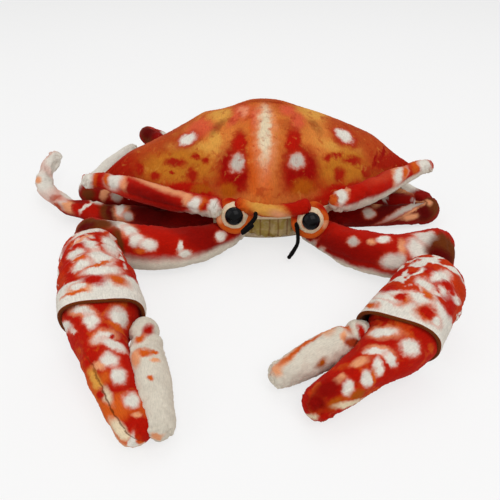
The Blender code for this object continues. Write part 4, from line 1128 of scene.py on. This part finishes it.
    "leg_plush_right_1": [
        # The wide dark red field over the leg is print darkened by painted shade under the rim
        (DARK_RED, 392, 208, 28, 16, 5, 0.4), (SHADED_WHITE, 369, 213, 5.5, 5, 0, 0.25),
        (SHADED_WHITE, 409, 206, 5.5, 5.2, 0, 0.25), (SHADED_WHITE, 404, 198, 5.5, 3.5, 0, 0.3),
        (PEACH, 376, 203, 5, 3.5, 0, 0.5), (PEACH, 418, 205, 3, 9, 0, 0.4),
        (PEACH, 411, 217, 9, 3, 12, 0.4), (BROWN, 430, 208, 9, 13, 0, 0.3),
        (DARK_RED, 424, 213, 8, 8, 0, 0.4), (PEACH, 429, 202, 4, 2, -45, 0.5),
    ],
    "leg_plush_right_2": [
        (PEACH, 403, 188, 10, 6, 0, 0.4),
    ],
}


# Places inside a unit circle: its middle and three rings of twelve
RAY_PLACES = np.array([(0.0, 0.0)] + [
    (share * math.cos(turn), share * math.sin(turn))
    for share in (0.3, 0.6, 0.9) for turn in np.arange(12) * math.pi / 6.0
])
ENOUGH_RAYS = 6
CAMERA_TURN = Matrix.Rotation(CAMERA_PITCH, 3, "X")


def map_place(piece, graph, across, down):
    """Place on the piece's map that the camera sees at a place in the picture, or None.

    The ray meets the piece alone, so what lies in front of it hides nothing. The map is read
    between the corners of the face, weighted by one over their squared distances.
    """
    middle, focal = PICTURE / 2.0, LENS / SENSOR * PICTURE
    toward = CAMERA_TURN @ Vector((across - middle, middle - down, -focal)).normalized()
    met, point, _, face = piece.ray_cast(CAMERA_PLACE, toward, depsgraph=graph)
    if not met:
        return None
    polygon = piece.data.polygons[face]
    corners = np.array([piece.data.vertices[i].co for i in polygon.vertices])
    spots = np.array([piece.data.uv_layers["sewn"].data[i].uv for i in polygon.loop_indices])
    weight = 1.0 / np.maximum(np.linalg.norm(corners - np.array(point), axis=1), 1e-7) ** 2
    return weight @ spots / weight.sum()


def laid_on(piece, fields):
    """The fields seen on a piece, moved from the picture to its map.

    The flat change of place that fits the oval's rays best makes it another oval, whose reaches
    and turn are the change's singular values and first direction.
    """
    graph = bpy.context.evaluated_depsgraph_get()
    for colour, across, down, wide, high, turn, *look in fields:
        c, s = math.cos(math.radians(turn)), math.sin(math.radians(turn))
        oval = np.array([[c, -s], [s, c]]) * (wide, high)
        steps, spots = [], []
        for step in RAY_PLACES @ oval.T:
            spot = map_place(piece, graph, across + step[0], down - step[1])
            if spot is not None:
                steps.append((*step, 1.0))
                spots.append(spot)
        if len(spots) < ENOUGH_RAYS:
            continue
        spots = np.array(spots)
        if piece.name != "carapace_plush":
            spots[:, 1] -= np.round(spots[:, 1] - spots[0, 1])
        change = np.linalg.lstsq(np.array(steps), spots, rcond=None)[0].T
        axes, reach, _ = np.linalg.svd(change[:, :2] @ oval)
        yield (colour, *change[:, 2], *reach, -math.degrees(math.atan2(axes[1, 0], axes[0, 0])), *look)


def printed(piece, ground, under=(), over=(), **more):
    """Plush with the layers under the ovals, the piece's own ovals, and the layers over them."""
    own = laid_on(piece, SEEN.get(piece.name, ()))
    return plush(f"{piece.name}_print", ground, [*under, *own, *over], **more)


# Layers under the ovals, which also cover the sides that the camera doesn't see
MOTTLED = [("mottle", WHITE, 70.0, 0.63, 0.05, 0.9)]
CUFFED = {
    side: [
        ("mottle", RED, 60.0, 0.56, 0.04, 1.0), ("mottle", WHITE, 75.0, 0.54, 0.04, 1.0),
        # The brown over the turned-in skin inside the cuff is the seam allowance with painted shade of the
        # hollow
        (WHITE, end - 0.045, 0.5, 0.11, 10.0, 0, 0.12), (BROWN, end + 0.70, 0.5, 0.50, 10.0, 0, 0.02),
    ]
    for side, end in (("left", 0.78), ("right", 0.81))
}
HAND_PANEL = {
    "left": [("mottle", ORANGE, 90.0, 0.60, 0.08, 0.7), (ORANGE, 0.78, 0.83, 0.40, 0.20, 0, 0.06),
             (CREAM, 0.85, 0.88, 0.30, 0.12, 0, 0.5)],
    "right": [("mottle", ORANGE, 90.0, 0.60, 0.08, 0.7), (TAWNY, 0.62, 0.98, 0.34, 0.18, 0, 0.1)],
}
HAND_SEAM = {"left": [(BROWN, 0.72, 0.627, 0.26, 0.007, 0, 0.5, 0.8)], "right": []}
BALL_EDGE = [(ORANGE, 0.2, 0.5, 0.035, 10.0, 0, 0.4)]
DOME_GROUND = [
    ("mottle", AMBER, 30.0, 0.56, 0.10, 0.5), ("mottle", BRICK, 42.0, 0.57, 0.07, 0.6),
    (GARNET, -1.16, 0.0, 0.50, 0.9, 0, 0.5, 0.85), (GARNET, 1.08, 0.0, 0.42, 0.9, 0, 0.5, 0.85),
    (BRICK, 0.0, -0.62, 1.1, 0.20, 0, 0.4, 0.8), (BRICK, 0.0, 0.62, 3.0, 0.35, 0, 0.4, 0.8),
]
DOME_FINE = [("mottle", BRICK, 150.0, 0.62, 0.06, 0.45), ("mottle", AMBER, 190.0, 0.66, 0.06, 0.25)]
# The face's fields lie in metres across and back: a dark line of painted shade in each valley between its
# pleats
FACE_FIELDS = [
    ("mottle", BEIGE, 110.0, 0.52, 0.12, 0.6), ("mottle", DARK_OLIVE, 90.0, 0.58, 0.10, 0.6),
    *[(BROWN, FACE_PLACE[0] + PLEAT * (number + 0.75), 0.0, 0.0006, 10.0, 0, 0.7, 0.55)
      for number in range(-3, 3)],
]
# Share of a leg's length where its white end begins, and the legs whose whole print is seen
TIP_BEGIN = {1: 0.62, 2: 0.52, 3: 0.50, 4: 0.64}
SEEN_LEGS = (("left", 1), ("left", 4), ("right", 1))


def tipped(side, number):
    """White end of a leg past the knee, over blotches where its print isn't seen."""
    end = LEG[side, number][0] * 10.0
    tip = (WHITE, end, 0.5, end * (1.0 - TIP_BEGIN[number]), 10.0, 0, 0.05)
    return [tip] if (side, number) in SEEN_LEGS else [*MOTTLED, tip]


def below_seam(front, back, length=10.0):
    """Plain pale panel on the underside, up to a share of the turn in front and behind."""
    return [(PALE, 0.0, 0.0, length, front, 0, 0.06), (PALE, 0.0, 1.0, length, back, 0, 0.06)]


def dress_body():
    """Dome and underside."""
    dome = carapace()
    cloth = printed(dome, TANGERINE, DOME_GROUND, DOME_FINE, bleed=(0.075, 0.075), ribs=(130.0, 34.0, 1.0))
    dress(dome, cloth, "printed_plush", "carapace_cover", "body_filling", fill=0.7)
    dress(underside(), plush("belly_pile", CREAM), "belly_plush", "underside_cover", fill=0.6)


def dress_brow(side, key):
    """Eyeball, the ring round it, and the rim beside it."""
    ball = eyeball(side)
    dress(ball, printed(ball, CREAM, BALL_EDGE), "eyeball_plush", f"eyeball_{side}", fill=0.8)
    ring = orbit(side)
    dress(ring, printed(ring, ORANGE), "orbit_plush", f"orbit_ring_{side}", fill=0.8)
    roll = limb(f"rim_plush_{side}", rim_points(side), side, RIM_WIDTHS[side], key,
                seams=((0.25, 0.0, 0.2), (0.75, 0.0, 0.2)), around=48)
    pale = below_seam(0.25, 0.25, {"left": 0.32, "right": 10.0}[side])
    dress(roll, printed(roll, RED, over=pale), "printed_plush", f"rim_{side}", fill=0.8)


def dress_claw(side, key):
    """Upper arm, sleeve, hand and movable finger."""
    arm = limb(f"arm_plush_{side}", elbow_points(side), side, ELBOW_WIDTHS[side], key + 0.4,
               seams=((0.24, 0.0, 0.085), (0.81, 0.0, 0.2)), caps=(0.0085, 0.013))
    pale = below_seam({"left": 0.25, "right": 0.18}[side], 0.2)
    dress(arm, printed(arm, RED, over=pale), "printed_plush", f"upper_arm_{side}", fill=0.7)
    cuffed = sleeve(side, key)
    dress(cuffed, printed(cuffed, FLAME, CUFFED[side]), "printed_plush", f"forearm_sleeve_{side}", fill=0.6)
    hand = limb(f"hand_plush_{side}", longer(hand_points(side), *HAND_MORE[side]), side, HAND_WIDTHS[side],
                key + 0.8, seams=((0.625, 0.045, 0.2), (0.2, 0.0, 0.2)), height=0.84, caps=(0.006, 0.0072),
                seam_depth=0.0007)
    cloth = printed(hand, RED, HAND_PANEL[side], HAND_SEAM[side])
    dress(hand, cloth, "printed_plush", f"hand_{side}", fill=0.8)
    seam = {"left": 0.80, "right": 0.2}[side]
    finger = limb(f"finger_plush_{side}", longer(finger_points(side), *FINGER_MORE[side]), side,
                  FINGER_WIDTHS, key + 1.2, around=56, seams=((seam, 0.012, 0.2),),
                  gathers=((0.0125, 0.0020, 0.0011, 7),))
    dress(finger, printed(finger, PALE), "finger_plush", f"movable_finger_{side}", fill=0.8)


def dress_leg(side, number, key):
    """Walking leg, gathered at its sewn joints."""
    gathers = [(place, 0.0016, 0.0010, 6) for place in LEG_JOINTS[number]]
    leg = limb(f"leg_plush_{side}_{number}", leg_points(side, number), side, LEG_RADII, key + number,
               around=48, gathers=gathers)
    cloth = printed(leg, DEEP_RED, tipped(side, number))
    dress(leg, cloth, "printed_plush", f"leg_{side}_{number}", fill=0.7)


def antenna_points(side):
    """Route of the stiff feeler, rooted in the bridge on the left and in the orbit ring on the right."""
    ring = np.array(EYE_PLACE[side]) - (0.0098, 0.0, 0.0)
    root = bridge_points()[1] if side == "left" else ring
    return walk(side, root, (FEELER_LENGTH, ANTENNA[side]))


def dress_face():
    """Feelers, the bridge over the face, and the face panel."""
    black_felt = plush("black_felt", (0.004, 0.004, 0.004, 1.0), sheen=0.02)
    for side in SIDES:
        feeler = limb(f"antenna_felt_{side}", antenna_points(side), side, (0.0014,) * 6, 4.0, folds=0.0,
                      stations=60, around=24, uneven=0.06, tufts=0.00005)
        dress(feeler, black_felt, "black_cord", f"antenna_{side}", fill=1.0)
    bridge = limb("bridge_plush", bridge_points(), "right", BRIDGE_WIDTHS, 3.1, around=48, stations=100)
    dress(bridge, printed(bridge, RED), "printed_plush", "front_bridge", fill=0.7)
    cloth = plush("face_plush_print", OLIVE, FACE_FIELDS, on_map=False, bleed=(0.0016, 0.0), scale=120.0)
    dress(face(), cloth, "face_plush", "face_panel", fill=0.6)


def plastic(name, colour, faded, roughness, specular):
    """Moulded plastic: two close colours in soft clouds, and fine scuffs in the roughness."""
    material, tree, shader = new_material(name)
    place = tree.nodes.new("ShaderNodeTexCoord").outputs["Object"]
    clouds = placed(tree, MOTTLE, Below=colour, Colour=faded, Cloth=place, Scale=220.0, Threshold=0.5,
                    Edge=0.15, Strength=1.0)
    scuffs = node(tree, "TexNoise", Vector=place, Scale=900.0, Detail=3.0).outputs[0]
    feed(tree, shader, {
        "Base Color": clouds.outputs["Colour"], "Specular IOR Level": specular,
        "Roughness": ranged(tree, scuffs, 0.0, 1.0, 0.75 * roughness, 1.25 * roughness),
    })
    return material


def dress_plastic():
    """Black eyes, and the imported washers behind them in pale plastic."""
    black_plastic = plastic("black_plastic", BLACK, (0.004, 0.004, 0.005, 1.0), 0.12, 0.10)
    pale_plastic = plastic("pale_plastic", tint("D8D4CA"), tint("C6C0B2"), 0.45, 0.35)
    for side in SIDES:
        dress(plastic_eye(side), black_plastic, "black_plastic", f"eye_{side}")
        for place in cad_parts[f"eye_washer_{side}"].material_slots:
            place.material = pale_plastic


dress_body()
for side, key in KEYS.items():
    dress_brow(side, key)
    dress_claw(side, key)
    for number in LEG_ROOTS:
        dress_leg(side, number, key)
dress_face()
dress_plastic()


# Camera, floor and light
camera_data = bpy.data.cameras.new("camera")
camera = bpy.data.objects.new("camera", camera_data)
bpy.context.scene.collection.objects.link(camera)
camera.location = CAMERA_PLACE
camera.rotation_euler = (CAMERA_PITCH, 0.0, 0.0)
camera_data.lens, camera_data.sensor_width, camera_data.clip_start = LENS, SENSOR, 0.01
bpy.context.scene.camera = camera

bpy.ops.mesh.primitive_plane_add(size=8.0, location=(0.0, 0.0, -0.0002))
floor = bpy.context.active_object
floor.name = "floor"


def looked_at(tree):
    """1 for the camera's rays, reflections and what is seen through glass, otherwise 0."""
    path = tree.nodes.new("ShaderNodeLightPath").outputs
    seen = maths(tree, "MAXIMUM", path["Is Camera Ray"], path["Is Glossy Ray"])
    return maths(tree, "MAXIMUM", seen, path["Is Transmission Ray"])


def blended(tree, share, first, second, output):
    """Mix two shaders by a share and send them to the output."""
    mixed = node(tree, "MixShader", i0=share, i1=first.outputs[0], i2=second.outputs[0])
    tree.links.new(mixed.outputs[0], output.inputs["Surface"])


def pale_floor():
    """Floor that shows the shadows at part of their strength, over plain white."""
    material, tree, lit = new_material("pale_floor")
    feed(tree, lit, {"Base Color": (0.86, 0.86, 0.86, 1.0), "Roughness": 0.9, "Specular IOR Level": 0.1})
    plain = node(tree, "Emission", Strength=1.0)
    share = maths(tree, "MULTIPLY", looked_at(tree), PLAIN_WHITE)
    blended(tree, share, lit, plain, tree.nodes["Material Output"])
    return material


def studio_world():
    """Soft warm light all round, plain white where it is looked at."""
    world = bpy.data.worlds.new("studio")
    world.use_nodes = True
    tree = world.node_tree
    light = tree.nodes["Background"]
    feed(tree, light, {"Color": (1.0, 0.99, 0.98, 1.0), "Strength": WORLD_LIGHT})
    white = node(tree, "Background", Color=(1.0, 1.0, 1.0, 1.0), Strength=1.0)
    blended(tree, looked_at(tree), light, white, tree.nodes["World Output"])
    return world


def area_lamp(name, place, aim, power, size):
    """Square soft lamp that looks from its place at a point."""
    data = bpy.data.lights.new(name, "AREA")
    data.energy, data.size = power, size
    lamp = bpy.data.objects.new(name, data)
    bpy.context.scene.collection.objects.link(lamp)
    lamp.location = place
    lamp.rotation_euler = (Vector(aim) - Vector(place)).to_track_quat("-Z", "Y").to_euler()


floor.data.materials.append(pale_floor())
bpy.context.scene.world = studio_world()
area_lamp("key_lamp", (0.35, -0.75, 1.15), (0.0, -0.03, 0.04), 6.6, 0.9)
area_lamp("fill_lamp", (-0.9, -0.5, 0.8), (0.0, -0.05, 0.04), 2.4, 0.9)
area_lamp("top_lamp", (0.0, 0.5, 1.3), (0.0, 0.0, 0.04), 3.2, 1.0)
bpy.context.scene.view_settings.view_transform = "Standard"
